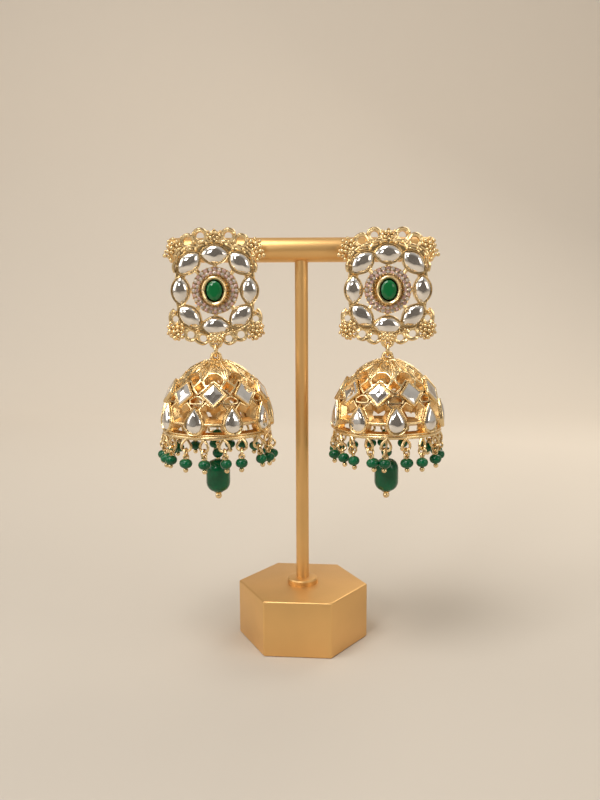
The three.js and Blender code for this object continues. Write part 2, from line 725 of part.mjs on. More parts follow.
// Materials
const LOOKS = {
  stand: { color: 0xd6a55a, roughness: 0.45, metalness: 0.8 },
  gold: { color: 0xe0aa5c, roughness: 0.25, metalness: 1 },
  clear: { color: 0xe6e2dc, roughness: 0.05, metalness: 0.6 },
  emerald: { color: 0x0b6b38, roughness: 0.08, metalness: 0.1 },
  green: { color: 0x0d5a3a, roughness: 0.2, metalness: 0 },
};

const model = new THREE.Group();

function add(group, name, geometry, look) {
  const mesh = new THREE.Mesh(geometry, new THREE.MeshStandardMaterial(LOOKS[look]));
  mesh.name = name;
  group.add(mesh);
  return mesh;
}

add(model, 'stand_base', geometryOf(standBase()), 'stand');
add(model, 'stand_collar', standCollar(), 'stand');
add(model, 'stand_post', standPost(), 'stand');
add(model, 'stand_bar', standBar(), 'stand');

// One earring: the bell's turn brings a diamond or a pear to the front
function addEarring(side, x, bellTurn) {
  const stud = new THREE.Group();
  stud.rotation.x = Math.PI / 2;
  stud.position.set(x, STUD_BACK_Y, STUD_Z);
  add(stud, `${side}_stud_frame`, geometryOf(studFrame()), 'gold');
  add(stud, `${side}_center_stone`, stone(OVAL_OUTLINE, CENTER_WIDTH, CENTER_HEIGHT, CENTER_WALL,
    CENTER_DEPTH, CENTER_POCKET, CENTER_CROWN), 'emerald');
  MARQUISES.forEach(({ angle, radius, width }, i) => {
    const cut = stone(MARQUISE_OUTLINE, width * MARQUISE_WIDTH, MARQUISE_LENGTH, BEZEL_WALL,
      MARQUISE_DEPTH, MARQUISE_POCKET, MARQUISE_CROWN);
    const mesh = add(stud, `${side}_marquise_${i + 1}`, cut, 'clear');
    mesh.rotation.z = rad(angle);
    mesh.position.set(radius * SETTING_RING, 0, 0).applyAxisAngle(Z, rad(angle));
  });

  const pinFront = new THREE.Vector3(x, -BAR_RADIUS, BAR_HEIGHT);
  const pinBack = new THREE.Vector3(x, EAR_POST_LENGTH - BAR_RADIUS, BAR_HEIGHT);
  add(model, `${side}_ear_post`, rod(pinFront, pinBack, EAR_POST_DIAMETER, 10), 'gold');

  const link = new THREE.Group();
  link.position.set(x, HANG_Y, STUD_Z - EYE_DROP - LINK_RADIUS);
  add(link, `${side}_jump_ring`, jumpRing(), 'gold');

  const drop = new THREE.Group();
  drop.position.set(x, HANG_Y, APEX_Z);
  drop.rotation.z = rad(bellTurn);
  add(drop, `${side}_bell`, geometryOf(bell(bellTurn)), 'gold');
  for (let i = 0; i < BELL_REPEATS; i += 1) {
    const cut = stone(PEAR_OUTLINE, PEAR_WIDTH, PEAR_LENGTH, BEZEL_WALL, PEAR_RELIEF, PEAR_POCKET, PEAR_CROWN);
    const mesh = add(drop, `${side}_pear_${i + 1}`, cut, 'clear');
    mesh.applyMatrix4(bellFrame(2 * HALF_PITCH * i + HALF_PITCH, PEAR_DROP));
  }
  add(drop, `${side}_bead_strand`, geometryOf(strand()), 'gold');
  add(drop, `${side}_capsule_bead`, capsule().translate(0, 0, -CAPSULE_DROP), 'green');
  add(drop, `${side}_bead_fringe`, geometryOf(fringe()), 'green');
  model.add(stud, link, drop);
}

addEarring('left', -EARRING_X, LEFT_BELL_TURN);
addEarring('right', EARRING_X, RIGHT_BELL_TURN);

export default model;
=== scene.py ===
"""Looks of a pair of jhumka earrings on a T-bar stand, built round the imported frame.

Shapes are worked out in millimetres in the frame's own axes and scaled to metres at the end.
"""

import math
import random

import bmesh
import bpy
from mathutils import Matrix, Vector


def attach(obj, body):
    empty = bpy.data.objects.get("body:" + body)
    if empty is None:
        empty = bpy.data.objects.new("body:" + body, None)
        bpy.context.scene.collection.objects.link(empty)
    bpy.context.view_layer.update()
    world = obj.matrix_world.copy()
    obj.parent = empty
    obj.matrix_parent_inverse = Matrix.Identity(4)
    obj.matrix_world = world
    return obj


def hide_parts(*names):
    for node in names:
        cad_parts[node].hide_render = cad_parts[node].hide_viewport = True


bl_info = {
    "name": "Jhumka earrings on a T-bar stand",
    "version": (1, 0, 0),
    "blender": (4, 5, 0),
    "location": "View3D > Sidebar > Jhumka",
    "description": "Models a pair of bell earrings with stones and beads, and their stand",
    "category": "Object",
}

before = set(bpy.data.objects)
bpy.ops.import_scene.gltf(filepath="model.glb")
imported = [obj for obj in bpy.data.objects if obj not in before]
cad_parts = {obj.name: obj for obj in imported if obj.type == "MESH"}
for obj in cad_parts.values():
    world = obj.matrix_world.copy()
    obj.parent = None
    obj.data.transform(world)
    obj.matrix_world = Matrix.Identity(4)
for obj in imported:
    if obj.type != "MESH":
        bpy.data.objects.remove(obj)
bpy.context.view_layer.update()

MM = 0.001
SIDES = {"left": -1, "right": 1}
STUD_BODY = "stand_and_studs"

# Places shared with the frame
BASE_TURN = -5.5
EARRING_X = 21.45
BELL_TURN = {"left": 1.5, "right": 24}
STUD_BACK_Y = -3.4
STUD_Z = 92
HANG_Y = -6
APEX_Z = 75.1
LINK_Z = 77.2
LINK_RADIUS = 1.4
LINK_WIRE = 0.38
BAR_HEIGHT = 102
EAR_POST_Y = -3.1

# Camera: place in metres, tilt and roll in degrees
CAMERA_PLACE = (-0.0005, -0.2183, 0.0953)
CAMERA_TILT = 81.76
CAMERA_ROLL = -0.27

# Marquise settings of the stud: direction, distance from the centre and share of the full width
MARQUISES = [(90, 8.85, 1), (46.5, 9.25, 1), (0, 8.55, 0.92), (-45, 9.05, 1),
             (-90, 8.85, 1), (-135, 9.05, 1), (180, 8.55, 0.92), (133.5, 9.25, 1)]

# Stud plate, right half: middle hole, edge by direction, and the discs of its lace with their holes
PLATE_HOLE = 8.1
PLATE_EDGE = [(90, 12.5), (67.5, 12.4), (45, 12.6), (22.5, 10.6), (0, 9.6), (-22.5, 10.4),
              (-45, 12.4), (-67.5, 11.6), (-90, 11.6)]
LACE_DISCS = [(0, 13.1, 1.63, 0), (3.45, 13.3, 1.8, 0.95), (6.5, 12.0, 1.75, 0.95), (9.32, 9.95, 1.8, 0),
              (3.2, -11.9, 1.55, 0.85), (6.3, -10.95, 1.7, 0.9), (10, -7, 1.45, 0.75), (9.6, -9.7, 1.7, 0)]

# Scrolls and granules of the lace, right half: points, and places with a share of the granule size
SCROLLS = [
    [(0.2, 11.6), (1.3, 12.2), (2, 13.2), (2.1, 14.2), (3.3, 15), (4.7, 14.6), (5.3, 13.4)],
    [(4.4, 11.4), (5.2, 12.4), (6.2, 13.6), (7.6, 13.2), (8.2, 12), (7.8, 10.8)],
    [(1, 11.7), (2.4, 12.1), (3.6, 11.6), (4.4, 10.6)],
    [(2.6, 11.3), (3.8, 11), (4.8, 10.1)],
    [(4.4, 10.6), (5.4, 11), (6.8, 10.6), (8.2, 9.6)],
    [(5.2, 10.2), (6.6, 9.9), (7.6, 9.2)],
    [(8.6, 9.4), (9.2, 8.2), (9.3, 6.8)],
    [(8, 10.6), (9, 10), (9.7, 8.9), (10, 7.6)],
    [(9.6, 7.4), (10.2, 6), (10, 4.4)],
    [(1.3, -11.3), (2, -12.6), (3.2, -13.2), (4.4, -12.8), (5.2, -12.2), (6.3, -12.4), (7.6, -12)],
    [(10.3, -4.5), (11.2, -5.8), (11.2, -7.6), (10.4, -8.3)],
    [(8.2, -8), (8.6, -9), (8.1, -10)],
    [(2, -11), (3.4, -10.6), (4.6, -9.9)],
    [(4.8, -10), (6.2, -9.6), (7.4, -8.6)],
    [(9, -6.6), (9.3, -5.4), (9.2, -4.2)],
    [(4.4, -10.6), (4.8, -11.4), (4.9, -12)],
]
GRANULES = [
    (10.3, 11.5, 0.95), (11.2, 12, 0.7), (10.1, 12.6, 0.7), (9.1, 12, 0.8), (9.2, 10.9, 0.8),
    (11.3, 10.8, 0.9), (10.4, 10.4, 0.9), (11.4, 9.6, 0.85), (12.2, 8.6, 0.8), (11.2, 8.4, 0.9),
    (10.5, 9.4, 0.85), (12, 9.6, 0.6), (9.6, 9.9, 0.8), (8.4, 11.3, 0.7), (10.7, 7.5, 0.7),
    (10.4, -10.2, 1), (11.4, -10, 0.9), (11, -11.1, 0.9), (10.1, -11.7, 0.95), (9.2, -11, 0.9),
    (9.4, -9.9, 0.9), (10.5, -9.1, 0.9), (11.6, -8.9, 0.9), (8.4, -11.5, 0.75), (9.4, -8.9, 0.8),
    (11.9, -10.6, 0.6), (9.3, -12, 0.7), (11.2, -8, 0.7), (8.5, -10.3, 0.7), (0.85, 12.9, 0.75),
    (1.4, 13.5, 0.75), (0.6, 14, 0.8), (1.5, 14.4, 0.55), (0, 13.2, 0.9), (0.7, 12.1, 0.7), (0, 14.7, 0.6),
    (3.6, 11.7, 0.6), (4.9, 11.9, 0.6), (5.05, 13.9, 0.65), (8, 12.9, 0.65), (4.75, -10.3, 0.6),
    (8.2, -9.3, 0.65), (10.1, -5.2, 0.6), (1.9, 11.5, 0.6), (7.3, 10.1, 0.6), (4.5, 10, 0.5),
    (9.6, 8.4, 0.6), (9.3, 6, 0.5), (4.3, -9.8, 0.5), (8.3, -8.4, 0.6),
]

# Bell: drop below the apex and radius there
BELL_PROFILE = [(0.18, 1.86), (2, 5.75), (3.9, 8.05), (6.1, 10.12), (9.1, 11.86),
                (12, 12.84), (15.1, 13.33), (16.9, 13.35), (18.2, 13.2)]
BELL_REPEATS = 9
PITCH = 360 / BELL_REPEATS
DIAMOND_DROP = 7.81
DIAMOND_STRETCH = 1.06
PEAR_DROP = 13.7
BELT_DROP = 14.5
RIM_DROP = 17.8
FRINGE_RADIUS = 13.3
LONG_BEAD_DROP = 29.85
STRAND_BEADS_Z = (55.98, 51.08)

# Lower edge of the embossed cap over half a repeat: turn from the diamond and drop
CAP_EDGE = [(0, 2.85), (6, 2.95), (11.5, 3.35), (15, 4.1), (17.5, 4.7), (20, 4.75)]

# Openings of one repeat of the bell, as turns in degrees from the diamond and drops
OVAL_CELL = [(0, 3.1), (6, 3.15), (11.5, 3.6), (15, 4.45), (9.6, 5.5), (0, 4.5),
             (-9.6, 5.5), (-15, 4.45), (-11.5, 3.6), (-6, 3.15)]
LOZENGE_CELL = [(20, 4.8), (28, 6.14), (20, 7.3), (12, 6.14)]
CHEVRON_CELL = [(22, 8.35), (27.2, 9), (26.4, 9.5), (20, 9.6), (13.6, 9.5), (12.8, 9), (18, 8.35)]
UPPER_CELL = [(0, 11), (8.4, 9.85), (14.4, 11.1), (11.4, 12.4), (9.4, 13.3), (8.6, 14.2),
              (-8.6, 14.2), (-9.4, 13.3), (-11.4, 12.4), (-14.4, 11.1), (-8.4, 9.85)]
LOWER_CELL = [(8.5, 14.85), (9.4, 15.9), (12.6, 17), (-12.6, 17), (-9.4, 15.9), (-8.5, 14.85)]

# Each opening, whether it is rounded, and how much narrower it is inside, as a share of its wall
CELLS = [(OVAL_CELL, True, 1.1), (LOZENGE_CELL, False, 1.1), (CHEVRON_CELL, False, 0.5),
         (UPPER_CELL, False, 2), (LOWER_CELL, False, 0.8)]

# Section of the bright edge of an opening: share of the wall's thickness and lift from the surface
RIM_SECTION = [(0.02, -0.3), (0, -0.05), (0.15, 0.12), (0.5, 0.18), (0.85, 0.12), (1, -0.05), (0.98, -0.3)]


def linear(*rgb):
    """An sRGB colour, 0 to 255, as the linear values that shaders use"""
    return tuple((c / 255 / 12.92 if c <= 10 else ((c / 255 + 0.055) / 1.055) ** 2.4) for c in rgb)


def colour(name, description, rgb):
    return bpy.props.FloatVectorProperty(name=name, description=description, subtype="COLOR",
                                         size=3, min=0, max=1, default=linear(*rgb))


def length(name, description, default):
    return bpy.props.FloatProperty(name=name, description=description, default=default * MM,
                                   min=0, unit="LENGTH", precision=5)


def share(name, description, default):
    return bpy.props.FloatProperty(name=name, description=description, default=default,
                                   min=0, max=1, subtype="FACTOR")


class FinishSettings(bpy.types.PropertyGroup):
    gold: colour("Gold", "Polished plating of the earrings", (243, 215, 163))
    gold_roughness: share("Gold roughness", "Polish of the plating", 0.2)
    # Inner gold: the same plating darkened to amber, as painted shade inside the bells and their openings
    shaded_inner_gold: colour("Inner gold", "Plating on the inner walls of the bells", (234, 194, 134))
    paint: colour("Stand paint", "Satin gold paint of the stand", (234, 188, 122))
    paint_roughness: share("Paint roughness", "Satin of the stand's paint", 0.4)
    foil: colour("Clear stones", "Foil behind the clear stones", (248, 243, 236))
    pink: colour("Pink stones", "Pink stones of the halo", (226, 192, 188))
    pale: colour("Pale stones", "Colourless stones of the halo", (228, 220, 212))
    emerald: colour("Centre stone", "Green of the centre stone", (3, 88, 34))
    bead: colour("Beads", "Green of the glass beads", (0, 90, 54))


class StandSettings(bpy.types.PropertyGroup):
    base_radius: length("Base radius", "Centre to corner of the base", 17.2)
    base_height: length("Base height", "Height of the base", 14.6)
    collar_radius: length("Collar radius", "Radius of the collar at the foot of the post", 4)
    post_radius: length("Post radius", "Radius of the post", 1.675)
    bar_radius: length("Bar radius", "Radius of the crossbar", 3.1)
    bar_length: length("Bar length", "Length of the crossbar", 66.6)


class StudSettings(bpy.types.PropertyGroup):
    marquise_width: length("Marquise width", "Outer width of a marquise setting", 5.35)
    marquise_length: length("Marquise length", "Outer length of a marquise setting", 7.75)
    centre_width: length("Centre width", "Outer width of the centre setting", 6.3)
    centre_height: length("Centre height", "Outer height of the centre setting", 7.3)
    halo_radius: length("Halo radius", "Centre to middle of the ring of small stones", 4.85)
    halo_stones: bpy.props.IntProperty(name="Halo stones", description="Small stones in a row of the ring",
                                       default=28, min=8, max=40)
    granule: length("Granule", "Radius of a soldered gold ball", 0.68)


class BellSettings(bpy.types.PropertyGroup):
    wire: length("Cell wall", "Thickness of the metal along each opening", 0.5)
    depth: length("Bell wall", "How deep the openings are cut", 1.25)
    diamond: length("Diamond setting", "Half the width across corners of a square setting", 3.25)
    pear_width: length("Pear width", "Outer width of a pear setting", 5)
    pear_length: length("Pear length", "Outer length of a pear setting", 7.3)


class FringeSettings(bpy.types.PropertyGroup):
    drops: bpy.props.IntProperty(name="Drops", description="Bead drops round a bell",
                                 default=18, min=6, max=36)
    bead_radius: length("Bead radius", "Radius of a fringe bead", 1.5)
    wire: length("Loop wire", "Radius of the wire of the loops", 0.33)
    capsule_radius: length("Capsule radius", "Radius of the long bead", 3.05)
    capsule_length: length("Capsule length", "Length of the long bead", 8.5)


class StageSettings(bpy.types.PropertyGroup):
    floor: colour("Floor", "Pale floor and backdrop", (242, 232, 218))
    lens: bpy.props.FloatProperty(name="Lens", description="Focal length", default=38.3,
                                  min=1, unit="CAMERA")


SETTINGS = {"finish": FinishSettings, "stand": StandSettings, "stud": StudSettings,
            "bell": BellSettings, "fringe": FringeSettings, "stage": StageSettings}


def about(axis, degrees):
    return Matrix.Rotation(math.radians(degrees), 4, axis)


def settings(group):
    return getattr(bpy.context.scene, "jhumka_" + group)


# Forms

def keep(bm, name, body, material, replaces=(), smooth=40):
    """Makes a bmesh in millimetres a finished piece that rides on a body"""
    bmesh.ops.scale(bm, vec=(MM, MM, MM), verts=bm.verts)
    mesh = form_of(bm, name)
    mesh.materials.append(material)
    if smooth:
        mesh.shade_smooth()
        mesh.set_sharp_from_angle(angle=math.radians(smooth))
    piece = added(name, mesh)
    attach(piece, body)
    if replaces:
        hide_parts(*replaces)


def place(bm, form, matrix):
    """Adds a copy of a form's mesh at a place"""
    start = len(bm.verts)
    bm.from_mesh(form)
    bm.verts.ensure_lookup_table()
    bmesh.ops.transform(bm, matrix=matrix, verts=bm.verts[start:])


def form_of(bm, name="form"):
    """The mesh of a bmesh, which is used up"""
    mesh = bpy.data.meshes.new(name)
    bm.to_mesh(mesh)
    bm.free()
    return mesh


def added(name, data):
    """A new object in the scene"""
    made = bpy.data.objects.new(name, data)
    bpy.context.scene.collection.objects.link(made)
    return made


def stacked(rings):
    """A form with a skin over rings of points, closed flat at both ends"""
    bm = bmesh.new()
    loops = []
    for ring in rings:
        verts = [bm.verts.new(point) for point in ring]
        loops.append([bm.edges.new((a, b)) for a, b in zip(verts, verts[1:] + verts[:1])])
        if len(loops) in (1, len(rings)):
            bm.faces.new(verts)
    for lower, upper in zip(loops, loops[1:]):
        bmesh.ops.bridge_loops(bm, edges=lower + upper)
    bmesh.ops.recalc_face_normals(bm, faces=bm.faces)
    return form_of(bm)


def add_form(bm, form):
    """Adds a bmesh of its own to another, its faces turned outwards"""
    bmesh.ops.recalc_face_normals(form, faces=form.faces)
    mesh = form_of(form)
    bm.from_mesh(mesh)
    bpy.data.meshes.remove(mesh)


def turned(bm, profile, steps, matrix=Matrix()):
    """Adds a profile of (radius, height) points spun round Z, at a place"""
    form = bmesh.new()
    verts = [form.verts.new((r, 0, z)) for r, z in profile]
    edges = [form.edges.new(pair) for pair in zip(verts, verts[1:])]
    bmesh.ops.spin(form, geom=verts + edges, cent=(0, 0, 0), axis=(0, 0, 1),
                   angle=2 * math.pi, steps=steps, use_merge=True)
    bmesh.ops.remove_doubles(form, verts=form.verts, dist=1e-4)
    bmesh.ops.transform(form, matrix=matrix, verts=form.verts)
    add_form(bm, form)


def band(form, loops):
    """A closed tube of faces over closed loops of points, the last one joined to the first"""
    rows = [[form.verts.new(point) for point in loop] for loop in loops]
    for row, other in zip(rows, rows[1:] + rows[:1]):
        for a, b, c, d in zip(row, row[1:] + row[:1], other[1:] + other[:1], other):
            form.faces.new((a, b, c, d))


def curve_form(curve, paths, closed, radii=None):
    """The mesh of a curve along paths of points, each point's radius a share of the full one"""
    for path in paths:
        spline = curve.splines.new("POLY")
        spline.points.add(len(path) - 1)
        spline.use_cyclic_u = closed
        for i, (point, at) in enumerate(zip(spline.points, path)):
            point.co = (*at, 1)
            point.radius = radii[i] if radii else 1
    holder = bpy.data.objects.new("holder", curve)
    form = bpy.data.meshes.new_from_object(holder)
    bpy.data.objects.remove(holder)
    bpy.data.curves.remove(curve)
    return form


def plate(outlines, back, front, rounding):
    """A flat form with rounded edges: the first outline is its edge, the others are its holes"""
    curve = bpy.data.curves.new("plate", "CURVE")
    curve.dimensions = "2D"
    curve.fill_mode = "BOTH"
    curve.extrude = (front - back) / 2 - rounding
    curve.bevel_depth = rounding
    curve.bevel_resolution = 2
    curve.offset = -rounding
    form = curve_form(curve, [[(x, y, 0) for x, y in outline] for outline in outlines], True)
    form.transform(Matrix.Translation((0, 0, (front + back) / 2)))
    return form


def ball(bm, centre, radius, detail=2):
    bmesh.ops.create_icosphere(bm, subdivisions=detail, radius=radius,
                               matrix=Matrix.Translation(centre))


def rod(bm, path, radius, closed=True, radii=None, sides=2):
    """Adds a round wire along a path of points"""
    curve = bpy.data.curves.new("wire", "CURVE")
    curve.dimensions = "3D"
    curve.bevel_depth = radius
    curve.bevel_resolution = sides
    curve.use_fill_caps = True
    form = curve_form(curve, [path], closed, radii)
    bm.from_mesh(form)
    bpy.data.meshes.remove(form)


def spline_through(points, steps, closed=True):
    """Points on a smooth curve through the given ones"""
    count = len(points)
    points = [Vector(p) for p in points]
    made = []
    for i in range(count if closed else count - 1):
        around = [points[(i + k) % count] if closed else points[max(0, min(count - 1, i + k))]
                  for k in (-1, 0, 1, 2)]
        for step in range(steps):
            t = step / steps
            a, b, c, d = around
            made.append(0.5 * (2 * b + (c - a) * t + (2 * a - 5 * b + 4 * c - d) * t * t
                               + (3 * b - a - 3 * c + d) * t ** 3))
    if not closed:
        made.append(points[-1])
    return made


def between(rows, value):
    """The second number of a table at a value of the first, straight between its rows"""
    rows = sorted(rows)
    for (a, first), (b, second) in zip(rows, rows[1:]):
        if value <= b:
            return first + (second - first) * max(0, value - a) / (b - a)
    return rows[-1][1]


def straight_between(points, steps):
    """A closed outline with each side cut into steps"""
    made = []
    for a, b in zip(points, points[1:] + points[:1]):
        made += [Vector(a).lerp(Vector(b), step / steps) for step in range(steps)]
    return made


# Outlines, anticlockwise and within -1 to 1

def marquise(count):
    made = []
    for i in range(count):
        y = math.cos(2 * math.pi * i / count)
        side = -1 if i < count / 2 else 1
        made.append((side * (1 - y * y) ** 0.76, y))
    return made


def pear(count):
    made = []
    for i in range(count):
        angle = 2 * math.pi * i / count
        made.append((-math.sin(angle) * math.sin(angle / 2) / 0.77, math.cos(angle)))
    return made


def circle(count):
    return [(math.cos(2 * math.pi * i / count), math.sin(2 * math.pi * i / count)) for i in range(count)]


def square():
    """A square stood on its corner, corners slightly clipped"""
    made, clip = [], 0.07
    for x, y in ((1, 0), (0, 1), (-1, 0), (0, -1)):
        for inside, aside in ((clip, -clip), (clip / 3, 0), (clip, clip)):
            made.append((x * (1 - inside) - aside * y, y * (1 - inside) + aside * x))
    return made


def halves(*lengths):
    """Half of each length of the settings, in millimetres"""
    return [each / MM / 2 for each in lengths]


def setting(outline, a, b, levels, tip=1.35):
    """A closed setting: levels are how far each ring is inside the outer edge, and its height"""
    return stacked([[(x * (a - inside), y * (b - inside * tip), z) for x, y in outline]
                    for inside, z in levels])


# Places

def stud_place(side, x=0, y=0, z=0, turn=0):
    """A place on the stud: x right, y up, z forward from its back, turned in its plane"""
    return (Matrix.Translation((SIDES[side] * EARRING_X + x, STUD_BACK_Y - z, STUD_Z + y))
            @ about("X", 90) @ about("Z", turn))


def stud_point(side, x, y, z):
    return stud_place(side, x, y, z).translation


def bell_radius(drop):
    """Radius of the bell at a drop, on a smooth curve through its profile"""
    last = len(BELL_PROFILE) - 1
    i = max(0, min(last - 1, sum(1 for d, _ in BELL_PROFILE if d <= drop) - 1))

    def slope(k):
        (d0, r0), (d1, r1) = BELL_PROFILE[max(k - 1, 0)], BELL_PROFILE[min(k + 1, last)]
        return (r1 - r0) / (d1 - d0)

    (d0, r0), (d1, r1) = BELL_PROFILE[i], BELL_PROFILE[i + 1]
    span = d1 - d0
    t = max(0, min(1, (drop - d0) / span))
    return ((2 * t ** 3 - 3 * t ** 2 + 1) * r0 + (t ** 3 - 2 * t ** 2 + t) * span * slope(i)
            + (3 * t ** 2 - 2 * t ** 3) * r1 + (t ** 3 - t ** 2) * span * slope(i + 1))


def bell_place(side, turn, drop, lift=0):
    """A place on the bell's surface: X round it, Y up it and Z out of it"""
    lean = math.atan2(bell_radius(drop + 0.6) - bell_radius(drop - 0.6), 1.2)
    out = Vector((0, -math.cos(lean), math.sin(lean)))
    up = Vector((0, math.sin(lean), math.cos(lean)))
    basis = Matrix((Vector((1, 0, 0)), up, out)).transposed().to_4x4()
    return (axis_place(side, APEX_Z) @ about("Z", turn + BELL_TURN[side])
            @ Matrix.Translation(Vector((0, -bell_radius(drop), -drop)) + out * lift) @ basis)


def bell_point(side, turn, drop, lift=0):
    return bell_place(side, turn, drop, lift).translation


def axis_point(side, z, x=0, y=0):
    """A point by the line that the bell hangs on: x right and y back from it"""
    return Vector((SIDES[side] * EARRING_X + x, HANG_Y + y, z))


def axis_place(side, z):
    return Matrix.Translation(axis_point(side, z))


def widened(cell, distance):
    """An opening's outline moved outwards by a distance in millimetres"""
    middle = sum(drop for _, drop in cell) / len(cell)
    across = math.radians(1) * bell_radius(middle)
    down = math.hypot(1, bell_radius(middle + 0.5) - bell_radius(middle - 0.5))
    flat = [Vector((turn * across, drop * down)) for turn, drop in cell]
    area = sum(a.cross(b) for a, b in zip(flat, flat[1:] + flat[:1]))
    made = []
    for i, point in enumerate(flat):
        before = (point - flat[i - 1]).normalized()
        after = (flat[(i + 1) % len(flat)] - point).normalized()
        way = (before + after).normalized()
        normal = Vector((way.y, -way.x)) * (1 if area > 0 else -1)
        stretch = 1 / max(0.5, math.sqrt((1 + before.dot(after)) / 2))
        moved = point + normal * distance * stretch
        made.append((moved.x / across, moved.y / down))
    return made


# Materials

def shader(name, colour_rgb, roughness, metallic=0.0, **sockets):
    material = bpy.data.materials.new(name)
    material.use_nodes = True
    principled = material.node_tree.nodes["Principled BSDF"]
    principled.inputs["Base Color"].default_value = (*colour_rgb, 1)
    principled.inputs["Roughness"].default_value = roughness
    principled.inputs["Metallic"].default_value = metallic
    for socket, value in sockets.items():
        principled.inputs[socket.replace("_", " ")].default_value = value
    return material, material.node_tree, principled


def texture(tree, kind, shift=(0, 0, 0), turn=(0, 0, 0)):
    """A texture on Object coordinates, which may be moved and turned"""
    along = tree.nodes.new("ShaderNodeTexCoord")
    mapping = tree.nodes.new("ShaderNodeMapping")
    mapping.inputs["Location"].default_value = shift
    mapping.inputs["Rotation"].default_value = turn
    made = tree.nodes.new(kind)
    tree.links.new(along.outputs["Object"], mapping.inputs["Vector"])
    tree.links.new(mapping.outputs["Vector"], made.inputs["Vector"])
    return made


def noise(tree, scale, detail=3):
    """Noise with its scale in ripples per metre"""
    made = texture(tree, "ShaderNodeTexNoise")
    made.inputs["Scale"].default_value = scale
    made.inputs["Detail"].default_value = detail
    return made


def vary(tree, principled, source, low, high):
    """Sends a texture to the roughness, between two values"""
    spread = tree.nodes.new("ShaderNodeMapRange")
    spread.inputs["From Min"].default_value = 0.3
    spread.inputs["From Max"].default_value = 0.7
    spread.inputs["To Min"].default_value = low
    spread.inputs["To Max"].default_value = high
    tree.links.new(source.outputs["Fac"], spread.inputs["Value"])
    tree.links.new(spread.outputs["Result"], principled.inputs["Roughness"])


def ramp(tree, value, low, first, high, second):
    """A colour that runs from one to another as a value goes from low to high"""
    node = tree.nodes.new("ShaderNodeValToRGB")
    for element, at, rgb in zip(node.color_ramp.elements, (low, high), (first, second)):
        element.position = at
        element.color = (*rgb, 1)
    tree.links.new(value, node.inputs["Fac"])
    return node.outputs["Color"]


def tint(tree, principled, source, first, second):
    """Sends a texture to the base colour, between two colours"""
    made = ramp(tree, source.outputs["Fac"], 0.35, first, 0.65, second)
    tree.links.new(made, principled.inputs["Base Color"])


def bump(tree, principled, source, strength, distance):
    node = tree.nodes.new("ShaderNodeBump")
    node.inputs["Strength"].default_value = strength
    node.inputs["Distance"].default_value = distance
    tree.links.new(source.outputs["Fac"], node.inputs["Height"])
    tree.links.new(node.outputs["Normal"], principled.inputs["Normal"])


def scaled(rgb, factor):
    return tuple(min(1, c * factor) for c in rgb)


def plating(name, rgb, shine):
    """Polished yellow-gold plating over a cast surface, a little hollow and worn in places"""
    rough = settings("finish").gold_roughness * shine
    material, tree, principled = shader(name, rgb, rough, 1.0)
    broad = noise(tree, 260)
    tint(tree, principled, broad, scaled(rgb, 0.84), scaled(rgb, 1.06))
    cast = noise(tree, 1100, 4)
    vary(tree, principled, cast, rough * 0.75, rough * 1.5)
    bump(tree, principled, cast, 0.5, 0.00016)
    return material


def satin_paint(name):
    """Satin metallic paint with a fine grain"""
    look = settings("finish")
    material, tree, principled = shader(name, look.paint, look.paint_roughness, 0.85)
    patches = noise(tree, 45)
    tint(tree, principled, patches, scaled(look.paint, 0.94), scaled(look.paint, 1.05))
    grain = noise(tree, 4200, 2)
    vary(tree, principled, grain, look.paint_roughness * 0.9, look.paint_roughness * 1.15)
    bump(tree, principled, grain, 0.2, 0.00003)
    return material


def foiled_glass(name, rgb):
    """A clear stone over silvery foil: mirror-bright, with slow ripples in the foil whose darker patches are
    partly painted reflection
    """
    material, tree, principled = shader(name, rgb, 0.05, 0.95, Coat_Weight=0.6, Coat_Roughness=0.02)
    foil_ripples_and_painted_reflection = noise(tree, 330, 1)
    # Darker patches down to 0.82 of the foil colour: ripples in the foil, and partly painted dark reflection
    tint(tree, principled, foil_ripples_and_painted_reflection, scaled(rgb, 0.82), rgb)
    bump(tree, principled, foil_ripples_and_painted_reflection, 0.35, 0.0004)
    return material


def green_glass(name, rgb, roughness):
    """Polished green glass, its colour lighter and darker in soft random patches"""
    material, tree, principled = shader(name, rgb, roughness, 0.0, Coat_Weight=0.25, Coat_Roughness=0.03,
                                        Specular_IOR_Level=0.25)
    soft_patches = noise(tree, 380, 2)
    tint(tree, principled, soft_patches, scaled(rgb, 0.8), scaled(rgb, 1.25))
    return material


def cut_glass(name, rgb):
    """Small cut stones, too small for their foil to mirror much"""
    material, tree, principled = shader(name, rgb, 0.16, 0.35, Coat_Weight=0.8, Coat_Roughness=0.04)
    glints = noise(tree, 1300, 2)
    tint(tree, principled, glints, scaled(rgb, 0.6), scaled(rgb, 1.2))
    bump(tree, principled, glints, 0.5, 0.0003)
    return material


def material_named(name, make, *values):
    return bpy.data.materials.get(name) or make(name, *values)


def gold():
    return material_named("gold_plating", plating, settings("finish").gold, 1)


def clear():
    return material_named("foiled_glass", foiled_glass, settings("finish").foil)


def beads():
    return material_named("bead_glass", green_glass, settings("finish").bead, 0.16)


# Operators

